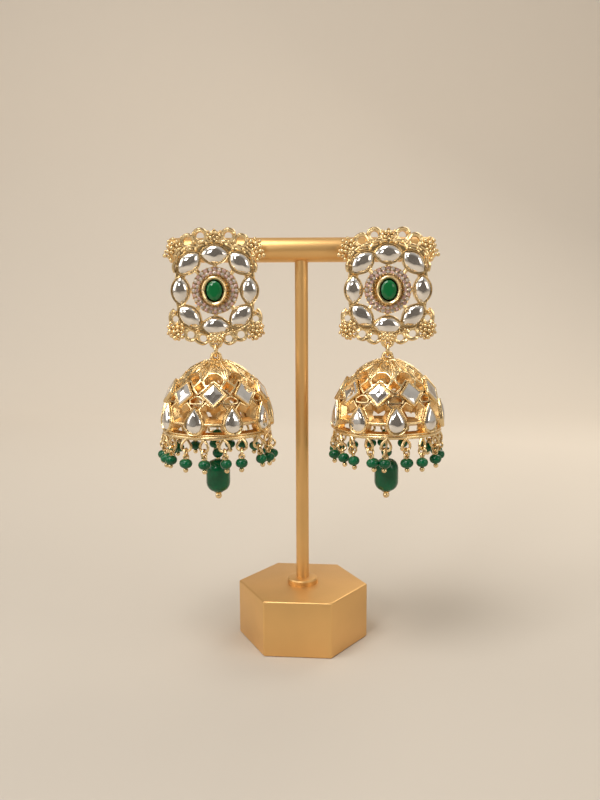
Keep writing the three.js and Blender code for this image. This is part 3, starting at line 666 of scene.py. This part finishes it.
class JHUMKA_OT_stand(bpy.types.Operator):
    """Base, collar, post and crossbar in satin gold paint"""
    bl_idname = "jhumka.stand"
    bl_label = "Stand"

    def execute(self, context):
        size = settings("stand")
        paint = material_named("satin_gold_paint", satin_paint)
        radius, height = size.base_radius / MM, size.base_height / MM
        bm = bmesh.new()
        bmesh.ops.create_cone(bm, cap_ends=True, segments=6, radius1=radius, radius2=radius, depth=height,
                              matrix=about("Z", BASE_TURN + 30) @ Matrix.Translation((0, 0, height / 2)))
        bmesh.ops.bevel(bm, geom=bm.edges, offset=0.45, segments=4, profile=0.5, affect="EDGES", material=-1)
        keep(bm, "hexagonal_base", STUD_BODY, paint, ["stand_base"], 30)

        collar, post = size.collar_radius / MM, size.post_radius / MM
        bar, half = size.bar_radius / MM, size.bar_length / MM / 2
        end = [(0, half), (bar - 0.45, half), (bar - 0.13, half - 0.13), (bar, half - 0.45)]
        lying = Matrix.Translation((0, 0, BAR_HEIGHT)) @ about("Y", 90)
        for name, node, steps, at, profile in (
            ("post_collar", "stand_collar", 64, Matrix.Translation((0, 0, height)),
             [(0, 0), (collar, 0), (collar, 1.1), (collar - 0.25, 1.45), (collar - 0.9, 1.6),
              (collar - 1.6, 1.65), (0, 1.65)]),
            ("round_post", "stand_post", 48, Matrix(),
             [(0, height + 0.5), (post, height + 0.5), (post, BAR_HEIGHT - 1.5), (0, BAR_HEIGHT - 1.5)]),
            ("round_crossbar", "stand_bar", 72, lying, [(r, -z) for r, z in end] + end[::-1]),
        ):
            bm = bmesh.new()
            turned(bm, profile, steps, at)
            keep(bm, name, STUD_BODY, paint, [node], 30)
        return {"FINISHED"}


class JHUMKA_OT_stud(bpy.types.Operator):
    """Soldered metal of both studs: settings, halo ring, lace, granules, heart and eye"""
    bl_idname = "jhumka.stud"
    bl_label = "Stud metal"

    def execute(self, context):
        size = settings("stud")
        a, b = halves(size.marquise_width, size.marquise_length)
        rim = [(0.1, 0.1), (0, 2.2), (0.03, 2.5), (0.1, 2.66), (0.17, 2.64), (0.22, 2.52), (0.26, 2.54),
               (0.32, 2.56), (0.36, 2.46), (0.39, 1.6)]
        cups = {width: setting(marquise(48), a * width, b, rim) for _, _, width in MARQUISES}
        for side in SIDES:
            bm = bmesh.new()
            for angle, radius, width in MARQUISES:
                place(bm, cups[width], stud_place(side, turn=angle) @ Matrix.Translation((radius, 0, 0)))
            self.centre(bm, side, size)
            self.halo(bm, side, size)
            self.lace(bm, side, size.granule / MM)
            self.heart_and_eye(bm, side)
            keep(bm, f"{side}_stud_metal", STUD_BODY, gold(), [f"{side}_stud_frame"])
        return {"FINISHED"}

    @staticmethod
    def centre(bm, side, size):
        """Polished oval setting on a gallery of petals"""
        a, b = halves(size.centre_width, size.centre_height)
        oval = setting(circle(64), a, b, [
            (0.6, 0.9), (0.45, 2.9), (0.06, 3.2), (0, 3.5), (0, 3.95), (0.06, 4.3), (0.18, 4.5), (0.32, 4.58),
            (0.5, 4.5), (0.8, 4.22), (0.88, 4.22), (0.96, 4.12), (1, 3.95), (1.02, 3.2)], 1)
        place(bm, oval, stud_place(side))
        turned(bm, [(0, 0.85), (4.2, 0.85), (4.2, 1.25), (0, 1.3)], 48, stud_place(side))
        for i in range(16):
            angle = 360 * i / 16 + 11.25
            petal = [(3.0, 0, 1.5), (3.5, 0, 1.9), (3.85, 0, 2.5), (3.8, 0, 3.1)]
            path = [stud_place(side, turn=angle) @ Vector(p) for p in spline_through(petal, 4, False)]
            rod(bm, path, 0.4, closed=False, radii=[1.2 - 0.06 * k for k in range(len(path))])

    @staticmethod
    def halo(bm, side, size):
        """Ring of round collets with grains between them, and bars out to the settings"""
        radius, count = size.halo_radius / MM, size.halo_stones
        turned(bm, [(radius - 0.85, 0.85), (radius + 0.9, 0.85), (radius + 1.0, 1.2), (radius + 0.98, 1.8),
                    (radius + 0.85, 2.0), (radius, 2.05), (radius - 0.8, 2.0), (radius - 0.93, 1.8),
                    (radius - 0.95, 1.2), (radius - 0.85, 0.85)], 64, stud_place(side))
        for out, shift in ((-0.9, 0.5), (0, 0), (0.92, 0.5)):
            for i in range(count):
                turn = 360 * (i + shift) / count
                ball(bm, stud_place(side, turn=turn) @ Vector((radius + out, 0, 2.1)), 0.17, 1)
        for angle, distance, width in MARQUISES:
            bar = [stud_place(side, turn=angle) @ Vector((r, 0, 1.5))
                   for r in (radius + 0.7, distance - 1.8 * width)]
            rod(bm, bar, 0.55, closed=False)

    @staticmethod
    def lace_edge():
        """Outline of the plate: the farthest of its edge and its discs in each direction"""
        made = []
        for step in range(240):
            angle = 2 * math.pi * step / 240
            across, up = abs(math.cos(angle)), math.sin(angle)
            reach = between(PLATE_EDGE, math.degrees(math.asin(up)))
            for x, y, radius, _ in LACE_DISCS:
                ahead, aside = x * across + y * up, x * up - y * across
                if ahead > 0 and abs(aside) < radius:
                    reach = max(reach, ahead + math.sqrt(radius ** 2 - aside ** 2))
            made.append((reach * math.cos(angle), reach * up))
        return made

    @staticmethod
    def lace(bm, side, granule):
        """Pierced plate with scrolls, loops and granule clusters round the ring of settings"""
        holes = [[(PLATE_HOLE * x, PLATE_HOLE * y) for x, y in circle(64)]]
        for m in (1, -1):
            holes += [[(m * x + hole * a, y + hole * b) for a, b in circle(24)]
                      for x, y, _, hole in LACE_DISCS if hole]
        place(bm, plate([JHUMKA_OT_stud.lace_edge(), *holes], 0.8, 2.05, 0.25), stud_place(side))
        for m in (1, -1):
            def at(x, y, z=2.0):
                return stud_point(side, m * x, y, z)

            for x, y, radius, hole in LACE_DISCS:
                for size, wire in ((hole + 0.32, 0.3), (radius - 0.22, 0.27)) if hole else ():
                    rod(bm, [at(x + size * a, y + size * b) for a, b in circle(32)], wire)
            for scroll in SCROLLS:
                path = [at(*p) for p in spline_through(scroll, 6, False)]
                ends = [0.7 + 0.5 * math.sin(math.pi * k / (len(path) - 1)) for k in range(len(path))]
                rod(bm, path, 0.36, closed=False, radii=ends)
            for x, y, scale in GRANULES:
                wobble = 0.2 * math.sin(9 * x + 5 * y)
                ball(bm, at(x, y, 2.25 + wobble), granule * scale)
        tip = [stud_point(side, 0, y, 2.0) for y in (12.4, 13.6, 14.5, 15.0)]
        rod(bm, tip, 0.6, closed=False, radii=[1, 0.85, 0.6, 0.3])

    @staticmethod
    def heart_and_eye(bm, side):
        """Granule heart over the eye that the link hangs from"""
        heart = [(0, -11.5, 0.7), (0.95, -11.2, 0.65), (1.75, -11.5, 0.55), (1.2, -12.2, 0.62),
                 (0, -12.25, 0.62), (0.75, -12.85, 0.42), (0.55, -11.9, 0.6)]
        for x, y, radius in heart:
            for m in (1, -1) if x else (1,):
                ball(bm, stud_point(side, m * x, y, 2.6), radius)
        turned(bm, [(0, 1.0), (1.4, 1.0), (1.5, 1.8), (1.2, 2.3), (0, 2.4)], 24, stud_place(side, 0, -11.5))
        eye = [stud_point(side, 0.85 * x, -13.4 + 0.85 * y, 2.6) for x, y in circle(24)]
        rod(bm, eye, 0.36)
        for m in (1, -1):
            leaf = [stud_point(side, m * x, y, 2.5)
                    for x, y in ((1.5, -12.1), (1.4, -12.8), (1.22, -13.4), (1, -14))]
            rod(bm, leaf, 0.42, closed=False, radii=[1, 1, 0.9, 0.5])


class JHUMKA_OT_stud_stones(bpy.types.Operator):
    """Marquise, halo and centre stones of both studs"""
    bl_idname = "jhumka.stud_stones"
    bl_label = "Stud stones"

    def execute(self, context):
        size = settings("stud")
        look = settings("finish")
        emerald = material_named("emerald_glass", green_glass, look.emerald, 0.07)
        a, b = halves(size.marquise_width, size.marquise_length)
        cut = [(0.37, 1.8), (0.37, 2.45), (0.5, 2.66), (0.75, 2.94), (1.1, 3.2), (1.55, 3.38), (2.1, 3.45)]
        stones = {width: setting(marquise(24), a * width, b, cut, 1.5) for _, _, width in MARQUISES}
        ca, cb = halves(size.centre_width, size.centre_height)
        centre = setting(circle(14), ca, cb, [(1, 3.3), (1, 3.9), (1.25, 4.3), (1.65, 4.62), (2.1, 4.76)], 1)
        small = setting(circle(8), 0.52, 0.52, [(0, 1.8), (0, 2.12), (0.24, 2.4), (0.32, 2.42)], 1)
        for side in SIDES:
            bm = bmesh.new()
            for angle, radius, width in MARQUISES:
                place(bm, stones[width], stud_place(side, turn=angle) @ Matrix.Translation((radius, 0, 0)))
            keep(bm, f"{side}_marquise_stones", STUD_BODY, clear(),
                 [f"{side}_marquise_{i}" for i in range(1, 9)], 30)
            bm = bmesh.new()
            place(bm, centre, stud_place(side))
            keep(bm, f"{side}_emerald", STUD_BODY, emerald, [f"{side}_center_stone"], 0)
            for first, name in enumerate(("pink", "pale")):
                bm = bmesh.new()
                for row, out in enumerate((-0.47, 0.47)):
                    for i in range(first, size.halo_stones, 2):
                        angle = 360 * (i + row) / size.halo_stones
                        outwards = Matrix.Translation((size.halo_radius / MM + out, 0, 0))
                        place(bm, small, stud_place(side, turn=angle) @ outwards @ Matrix.Rotation(i, 4, "Z"))
                material = material_named(name + "_glass", cut_glass, getattr(look, name))
                keep(bm, f"{side}_halo_{name}_stones", STUD_BODY, material, smooth=0)
        return {"FINISHED"}


class JHUMKA_OT_links(bpy.types.Operator):
    """Jump rings and the hidden ear posts"""
    bl_idname = "jhumka.links"
    bl_label = "Links and ear posts"

    def execute(self, context):
        for side in SIDES:
            bm = bmesh.new()
            ring = [axis_point(side, LINK_Z + LINK_RADIUS * z, y=LINK_RADIUS * y) for y, z in circle(32)]
            rod(bm, ring, LINK_WIRE, sides=3)
            keep(bm, f"{side}_link", f"{side}_link", gold(), [f"{side}_jump_ring"])
            bm = bmesh.new()
            turned(bm, [(0, 0), (0.5, 0), (0.5, 10.6), (0.3, 10.95), (0, 11)], 24,
                   Matrix.Translation((SIDES[side] * EARRING_X, EAR_POST_Y, BAR_HEIGHT)) @ about("X", -90))
            keep(bm, f"{side}_pin", STUD_BODY, gold(), [f"{side}_ear_post"])
        return {"FINISHED"}


class JHUMKA_OT_bells(bpy.types.Operator):
    """Openwork bells: wires, embossed cap, settings, belt and rim"""
    bl_idname = "jhumka.bells"
    bl_label = "Bells"

    def execute(self, context):
        size = settings("bell")
        # The inner walls and setting backs take the darker gold as painted shade in the recesses
        shaded_inner_gold = material_named("inner_plating", plating, settings("finish").shaded_inner_gold, 1.5)
        diamond = size.diamond / MM
        bezel = [(0.25, -0.4), (0.03, -0.35), (0, -0.2), (0, 0.45), (0.06, 0.62), (0.15, 0.69), (0.24, 0.62),
                 (0.3, 0.46), (0.35, 0.45), (0.41, 0.52), (0.46, 0.45), (0.5, 0.1)]
        depth = size.depth / MM
        back = [(0.2, 0.1 - depth), (0.05, -0.35)]
        a, b = halves(size.pear_width, size.pear_length)
        for side in SIDES:
            bm, inner = bmesh.new(), bmesh.new()
            for metal, levels, wider in ((bm, bezel, 1.3), (inner, back, 1)):
                square_form = setting(square(), diamond, diamond * DIAMOND_STRETCH,
                                      [(inside * wider, z) for inside, z in levels], 1)
                pear_form = setting(pear(48), a, b, levels, 1.3)
                for i in range(BELL_REPEATS):
                    place(metal, square_form, bell_place(side, i * PITCH, DIAMOND_DROP))
                    place(metal, pear_form, bell_place(side, (i + 0.5) * PITCH, PEAR_DROP))
            self.openings(bm, side, size.wire / MM, RIM_SECTION)
            inner_section = [(-1, -depth), (0.02, -0.18), (0.98, -0.18), (1, -depth)]
            self.openings(inner, side, size.wire / MM, inner_section)
            self.cap(bm, side, depth)
            self.rings(bm, side)
            keep(bm, f"{side}_bell_metal", f"{side}_drop", gold(), [f"{side}_bell"])
            keep(inner, f"{side}_bell_inner_walls", f"{side}_drop", shaded_inner_gold)
        return {"FINISHED"}

    @staticmethod
    def openings(bm, side, wall, section):
        """Metal along each opening, by a section of shares of the wall and lifts from the surface"""
        form = bmesh.new()
        for cell, rounded, taper in CELLS:
            loops = []
            for out, lift in section:
                edge = widened(cell, wall * (out if out >= 0 else out * taper))
                loops.append((lift, spline_through(edge, 4) if rounded else straight_between(edge, 4)))
            for i in range(BELL_REPEATS):
                band(form, [[bell_point(side, i * PITCH + turn, drop, lift) for turn, drop in points]
                            for lift, points in loops])
        add_form(bm, form)

    @staticmethod
    def cap(bm, side, depth):
        """Embossed dome with a scalloped lower edge: leaves, veins and granules round the finial"""
        turns = [2 * k for k in range(180)]
        edges = [between(CAP_EDGE, min(turn % PITCH, PITCH - turn % PITCH)) for turn in turns]
        rows = [(k / 8, 0.08) for k in range(9)] + [(k / 8, -depth) for k in range(8, -1, -1)]
        form = bmesh.new()
        band(form, [[bell_point(side, turn, 0.2 + (edge - 0.2) * down, lift)
                     for turn, edge in zip(turns, edges)] for down, lift in rows])
        add_form(bm, form)
        for i in range(2 * BELL_REPEATS):
            turn = i * PITCH / 2
            low = 2.6 if i % 2 == 0 else 4.3
            vein = [bell_point(side, turn, 0.6 + (low - 0.6) * k / 3, 0.12) for k in range(4)]
            rod(bm, vein, 0.24, closed=False, radii=[0.6, 0.9, 1, 0.6])
            wide = 5.2 if i % 2 else 4.2
            leaf = [(0, 0.55), (wide, 0.3 + 0.45 * low), (wide * 0.9, 0.7 * low), (0, low + 0.2),
                    (-wide * 0.9, 0.7 * low), (-wide, 0.3 + 0.45 * low)]
            path = [bell_point(side, turn + x, drop, 0.12) for x, drop in spline_through(leaf, 4)]
            rod(bm, path, 0.2)
            for x, d, radius in ((PITCH / 4, 0.8 + 0.6 * low * (i % 2), 0.3), (2.4, 0.55 * low, 0.26),
                                 (-2.4, 0.55 * low, 0.26)):
                ball(bm, bell_point(side, turn + x, d, 0.16), radius, 1)
        foot = [(0, -0.3), (2.1, -0.3), (2.15, -0.05), (1.75, 0.2), (1.3, 0.4), (0.9, 0.55), (0, 0.58)]
        turned(bm, foot, 32, axis_place(side, APEX_Z - 0.5))
        for x, z, radius in ((1.15, 0.1, 0.5), (1.05, 0.55, 0.48), (0.95, 1.0, 0.42), (0.75, 1.35, 0.3)):
            for m in (1, -1):
                ball(bm, axis_point(side, APEX_Z + z, m * x), radius)
        bail = [axis_point(side, APEX_Z + 0.7 + 0.85 * up, 0.85 * across) for across, up in circle(24)]
        rod(bm, bail, 0.32)

    @staticmethod
    def rings(bm, side):
        """Belt wire, rim and the thin line above the rim"""
        for drop, radius, lift in ((BELT_DROP, 0.24, 0), (RIM_DROP, 0.38, 0), (RIM_DROP - 0.65, 0.18, 0.08),
                                   (RIM_DROP + 0.3, 0.2, 0.12)):
            path = [bell_point(side, 360 * k / 120, drop, lift) for k in range(120)]
            rod(bm, path, radius, sides=3)


class JHUMKA_OT_bell_stones(bpy.types.Operator):
    """Square and pear stones of both bells"""
    bl_idname = "jhumka.bell_stones"
    bl_label = "Bell stones"

    def execute(self, context):
        size = settings("bell")
        diamond = size.diamond / MM
        mirror = setting([(1, 0), (0, 1), (-1, 0), (0, -1)], diamond, diamond * DIAMOND_STRETCH,
                         [(0.6, 0.1), (0.6, 0.42), (1.05, 0.7), (2.5, 0.84)], 1)
        drop = setting(pear(28), *halves(size.pear_width, size.pear_length),
                       [(0.45, 0), (0.45, 0.42), (0.62, 0.66), (0.9, 0.88), (1.3, 1.06), (1.7, 1.12)], 1.4)
        for side in SIDES:
            bm = bmesh.new()
            for i in range(BELL_REPEATS):
                place(bm, mirror, bell_place(side, i * PITCH, DIAMOND_DROP))
            keep(bm, f"{side}_square_stones", f"{side}_drop", clear(), smooth=2)
            bm = bmesh.new()
            for i in range(BELL_REPEATS):
                place(bm, drop, bell_place(side, (i + 0.5) * PITCH, PEAR_DROP))
            keep(bm, f"{side}_pear_stones", f"{side}_drop", clear(),
                 [f"{side}_pear_{i}" for i in range(1, 10)], 30)
        return {"FINISHED"}


class JHUMKA_OT_strands(bpy.types.Operator):
    """Strand down the middle of each bell, with the long bead below the rim"""
    bl_idname = "jhumka.strands"
    bl_label = "Strands"

    def execute(self, context):
        size = settings("fringe")
        r, h = size.capsule_radius / MM, size.capsule_length / MM / 2
        capsule_z = APEX_Z - LONG_BEAD_DROP
        rounded = [(0.25, -h)] + [(r * math.sin(t) ** 0.75, -h + 2.7 * (1 - math.cos(t)))
                                  for t in (math.pi * k / 20 for k in range(2, 11))]
        outline = rounded + [(x, -z) for x, z in rounded[::-1]]
        for side in SIDES:
            bm = bmesh.new()
            pin = [axis_point(side, z) for z in (APEX_Z - 0.9, capsule_z - h - 0.8)]
            rod(bm, pin, 0.28, closed=False)
            for z, radius in ((58.5, 0.5), (53.6, 0.5), (capsule_z + h + 0.2, 0.62)):
                ball(bm, axis_point(side, z), radius)
            turned(bm, [(0, -0.5), (0.9, -0.25), (1.2, 0), (0.9, 0.2), (0, 0.25)], 24,
                   axis_place(side, capsule_z - h))
            ball(bm, axis_point(side, capsule_z - h - 1), 0.85, 3)
            keep(bm, f"{side}_strand_pin", f"{side}_drop", gold(), [f"{side}_bead_strand"])
            bm = bmesh.new()
            turned(bm, [(0, -h), *outline, (0, h)], 48, axis_place(side, capsule_z))
            keep(bm, f"{side}_long_bead", f"{side}_drop", beads(), [f"{side}_capsule_bead"])
            bm = bmesh.new()
            for z in STRAND_BEADS_Z:
                turned(bm, [(1.38 * math.sin(math.pi * k / 12), -1.25 * math.cos(math.pi * k / 12))
                            for k in range(13)], 32, axis_place(side, z))
            keep(bm, f"{side}_strand_beads", f"{side}_drop", beads())
        return {"FINISHED"}


class JHUMKA_OT_fringes(bpy.types.Operator):
    """Bead drops round each rim, each a little askew"""
    bl_idname = "jhumka.fringes"
    bl_label = "Fringes"

    def execute(self, context):
        size = settings("fringe")
        wire, radius = size.wire / MM, size.bead_radius / MM
        metal = bmesh.new()
        loop = [(1.2 * x, 0, -1.5 + 1.45 * y) for x, y in pear(24)]
        rod(metal, loop, wire)
        ring = [(0, 0.95 * x, -3.4 + 0.95 * y) for x, y in circle(20)]
        rod(metal, ring, wire * 0.85)
        eye = [(0.6 * x, 0, -4.45 + 0.6 * y) for x, y in circle(16)]
        rod(metal, eye, wire * 0.8)
        turned(metal, [(0, -4.7), (0.42, -4.75), (0.42, -5.1), (0, -5.15)], 10)
        ball(metal, (0, 0, -7.75), 0.62, 3)
        metal = form_of(metal)
        bead = bmesh.new()
        turned(bead, [(radius * math.sin(math.pi * k / 10) ** 0.8, -6.1 - 1.15 * math.cos(math.pi * k / 10))
                      for k in range(11)], 24)
        bead = form_of(bead)
        chance = random.Random(7)
        for side in SIDES:
            gilt, glass = bmesh.new(), bmesh.new()
            for i in range(size.drops):
                turn = 360 * i / size.drops + 10
                sway, lift = chance.uniform(-16, 16), chance.uniform(-4, 6)
                spin = chance.uniform(-25, 25)
                at = (axis_place(side, APEX_Z) @ about("Z", turn + BELL_TURN[side])
                      @ Matrix.Translation((0, -FRINGE_RADIUS, -RIM_DROP - 0.3))
                      @ about("X", -lift) @ about("Y", sway) @ about("Z", spin))
                place(gilt, metal, at)
                stretch = Matrix.Diagonal((chance.uniform(0.92, 1.06),) * 2 + (1, 1))
                place(glass, bead, at @ stretch)
            keep(gilt, f"{side}_fringe_loops", f"{side}_drop", gold(), [f"{side}_bead_fringe"])
            keep(glass, f"{side}_fringe_beads", f"{side}_drop", beads())
        return {"FINISHED"}


class JHUMKA_OT_stage(bpy.types.Operator):
    """Pale floor and backdrop, soft light and the camera"""
    bl_idname = "jhumka.stage"
    bl_label = "Stage"

    def execute(self, context):
        self.floor()
        self.lights()
        self.camera()
        return {"FINISHED"}

    @staticmethod
    def floor():
        look = settings("stage")
        bm = bmesh.new()
        bend = [(0, 0.35 + 0.25 * math.sin(math.pi * k / 24), 0.25 - 0.25 * math.cos(math.pi * k / 24))
                for k in range(13)]
        profile = [(0, -1.2, 0), *bend, (0, 0.6, 1.6)]
        verts = [bm.verts.new(Vector(p) - Vector((1.6, 0, 0))) for p in profile]
        edges = [bm.edges.new(pair) for pair in zip(verts, verts[1:])]
        made = bmesh.ops.extrude_edge_only(bm, edges=edges)["geom"]
        bmesh.ops.translate(bm, vec=(3.2, 0, 0), verts=[v for v in made if isinstance(v, bmesh.types.BMVert)])
        bmesh.ops.recalc_face_normals(bm, faces=bm.faces)
        mesh = form_of(bm, "pale_floor")
        mesh.shade_smooth()
        material, tree, principled = shader("pale_sheet", look.floor, 0.75)
        # Painted shadow: the floor colour darkened to 0.68 towards one side, fading to the plain colour
        painted_shadow = texture(tree, "ShaderNodeTexGradient", (0.36, 0, 0), (0, 0, math.radians(-70)))
        tint(tree, principled, painted_shadow, scaled(look.floor, 0.68), look.floor)
        mesh.materials.append(material)
        floor = added("pale_floor", mesh)

    @staticmethod
    def lights():
        lamps = [("key", (-0.17, -0.2, 0.6), 0.3, 2.0, (1, 0.98, 0.95)),
                 ("left", (-0.6, -0.15, 0.3), 0.4, 0.9, (1, 0.97, 0.93)),
                 ("right", (0.5, -0.4, 0.3), 0.3, 0.7, (1, 0.94, 0.86)),
                 ("front", (-0.24, -0.5, 0.34), 0.12, 0.5, (1, 0.98, 0.96)),
                 ("back", (0.25, 0.3, 0.4), 0.25, 0.6, (1, 0.93, 0.82))]
        for name, at, size, power, rgb in lamps:
            data = bpy.data.lights.new(name, "AREA")
            data.size = size
            data.energy = power
            data.color = rgb
            lamp = added(name, data)
            lamp.location = at
            lamp.visible_camera = False
            lamp.rotation_euler = (Vector((0, 0, 0.07)) - Vector(at)).to_track_quat("-Z", "Y").to_euler()
        world = bpy.data.worlds.new("studio")
        world.use_nodes = True
        tree = world.node_tree
        way = tree.nodes.new("ShaderNodeTexCoord")
        facing = tree.nodes.new("ShaderNodeVectorMath")
        facing.operation = "DOT_PRODUCT"
        facing.inputs[1].default_value = (0, -0.98, 0.2)
        tree.links.new(way.outputs["Generated"], facing.inputs[0])
        sky = ramp(tree, facing.outputs["Value"], 0.55, (0.9, 0.85, 0.78), 0.85, (0.27, 0.23, 0.19))
        background = tree.nodes["Background"]
        tree.links.new(sky, background.inputs["Color"])
        background.inputs["Strength"].default_value = 0.5
        bpy.context.scene.world = world

    @staticmethod
    def camera():
        data = bpy.data.cameras.new("camera")
        data.lens = settings("stage").lens
        data.clip_start = 0.01
        camera = added("camera", data)
        camera.location = CAMERA_PLACE
        camera.rotation_euler = (about("X", CAMERA_TILT) @ about("Z", CAMERA_ROLL)).to_euler()
        bpy.context.scene.camera = camera
        bpy.context.scene.view_settings.view_transform = "Standard"


OPERATORS = [JHUMKA_OT_stage, JHUMKA_OT_stand, JHUMKA_OT_stud, JHUMKA_OT_stud_stones, JHUMKA_OT_links,
             JHUMKA_OT_bells, JHUMKA_OT_bell_stones, JHUMKA_OT_strands, JHUMKA_OT_fringes]


class JHUMKA_PT_panel(bpy.types.Panel):
    """Settings and steps of the earrings"""
    bl_label = "Jhumka earrings"
    bl_idname = "JHUMKA_PT_panel"
    bl_space_type = "VIEW_3D"
    bl_region_type = "UI"
    bl_category = "Jhumka"

    def draw(self, context):
        for group, kind in SETTINGS.items():
            box = self.layout.box()
            box.label(text=group.capitalize())
            for name in kind.__annotations__:
                box.prop(settings(group), name)
        for operator in OPERATORS:
            self.layout.operator(operator.bl_idname)


def register():
    for kind in [*SETTINGS.values(), *OPERATORS, JHUMKA_PT_panel]:
        bpy.utils.register_class(kind)
    for group, kind in SETTINGS.items():
        setattr(bpy.types.Scene, "jhumka_" + group, bpy.props.PointerProperty(type=kind))


def unregister():
    for group in SETTINGS:
        delattr(bpy.types.Scene, "jhumka_" + group)
    for kind in reversed([*SETTINGS.values(), *OPERATORS, JHUMKA_PT_panel]):
        bpy.utils.unregister_class(kind)


def main():
    register()
    for operator in OPERATORS:
        name = operator.bl_idname.split(".")[1]
        getattr(bpy.ops.jhumka, name)()


if __name__ == "__main__":
    main()
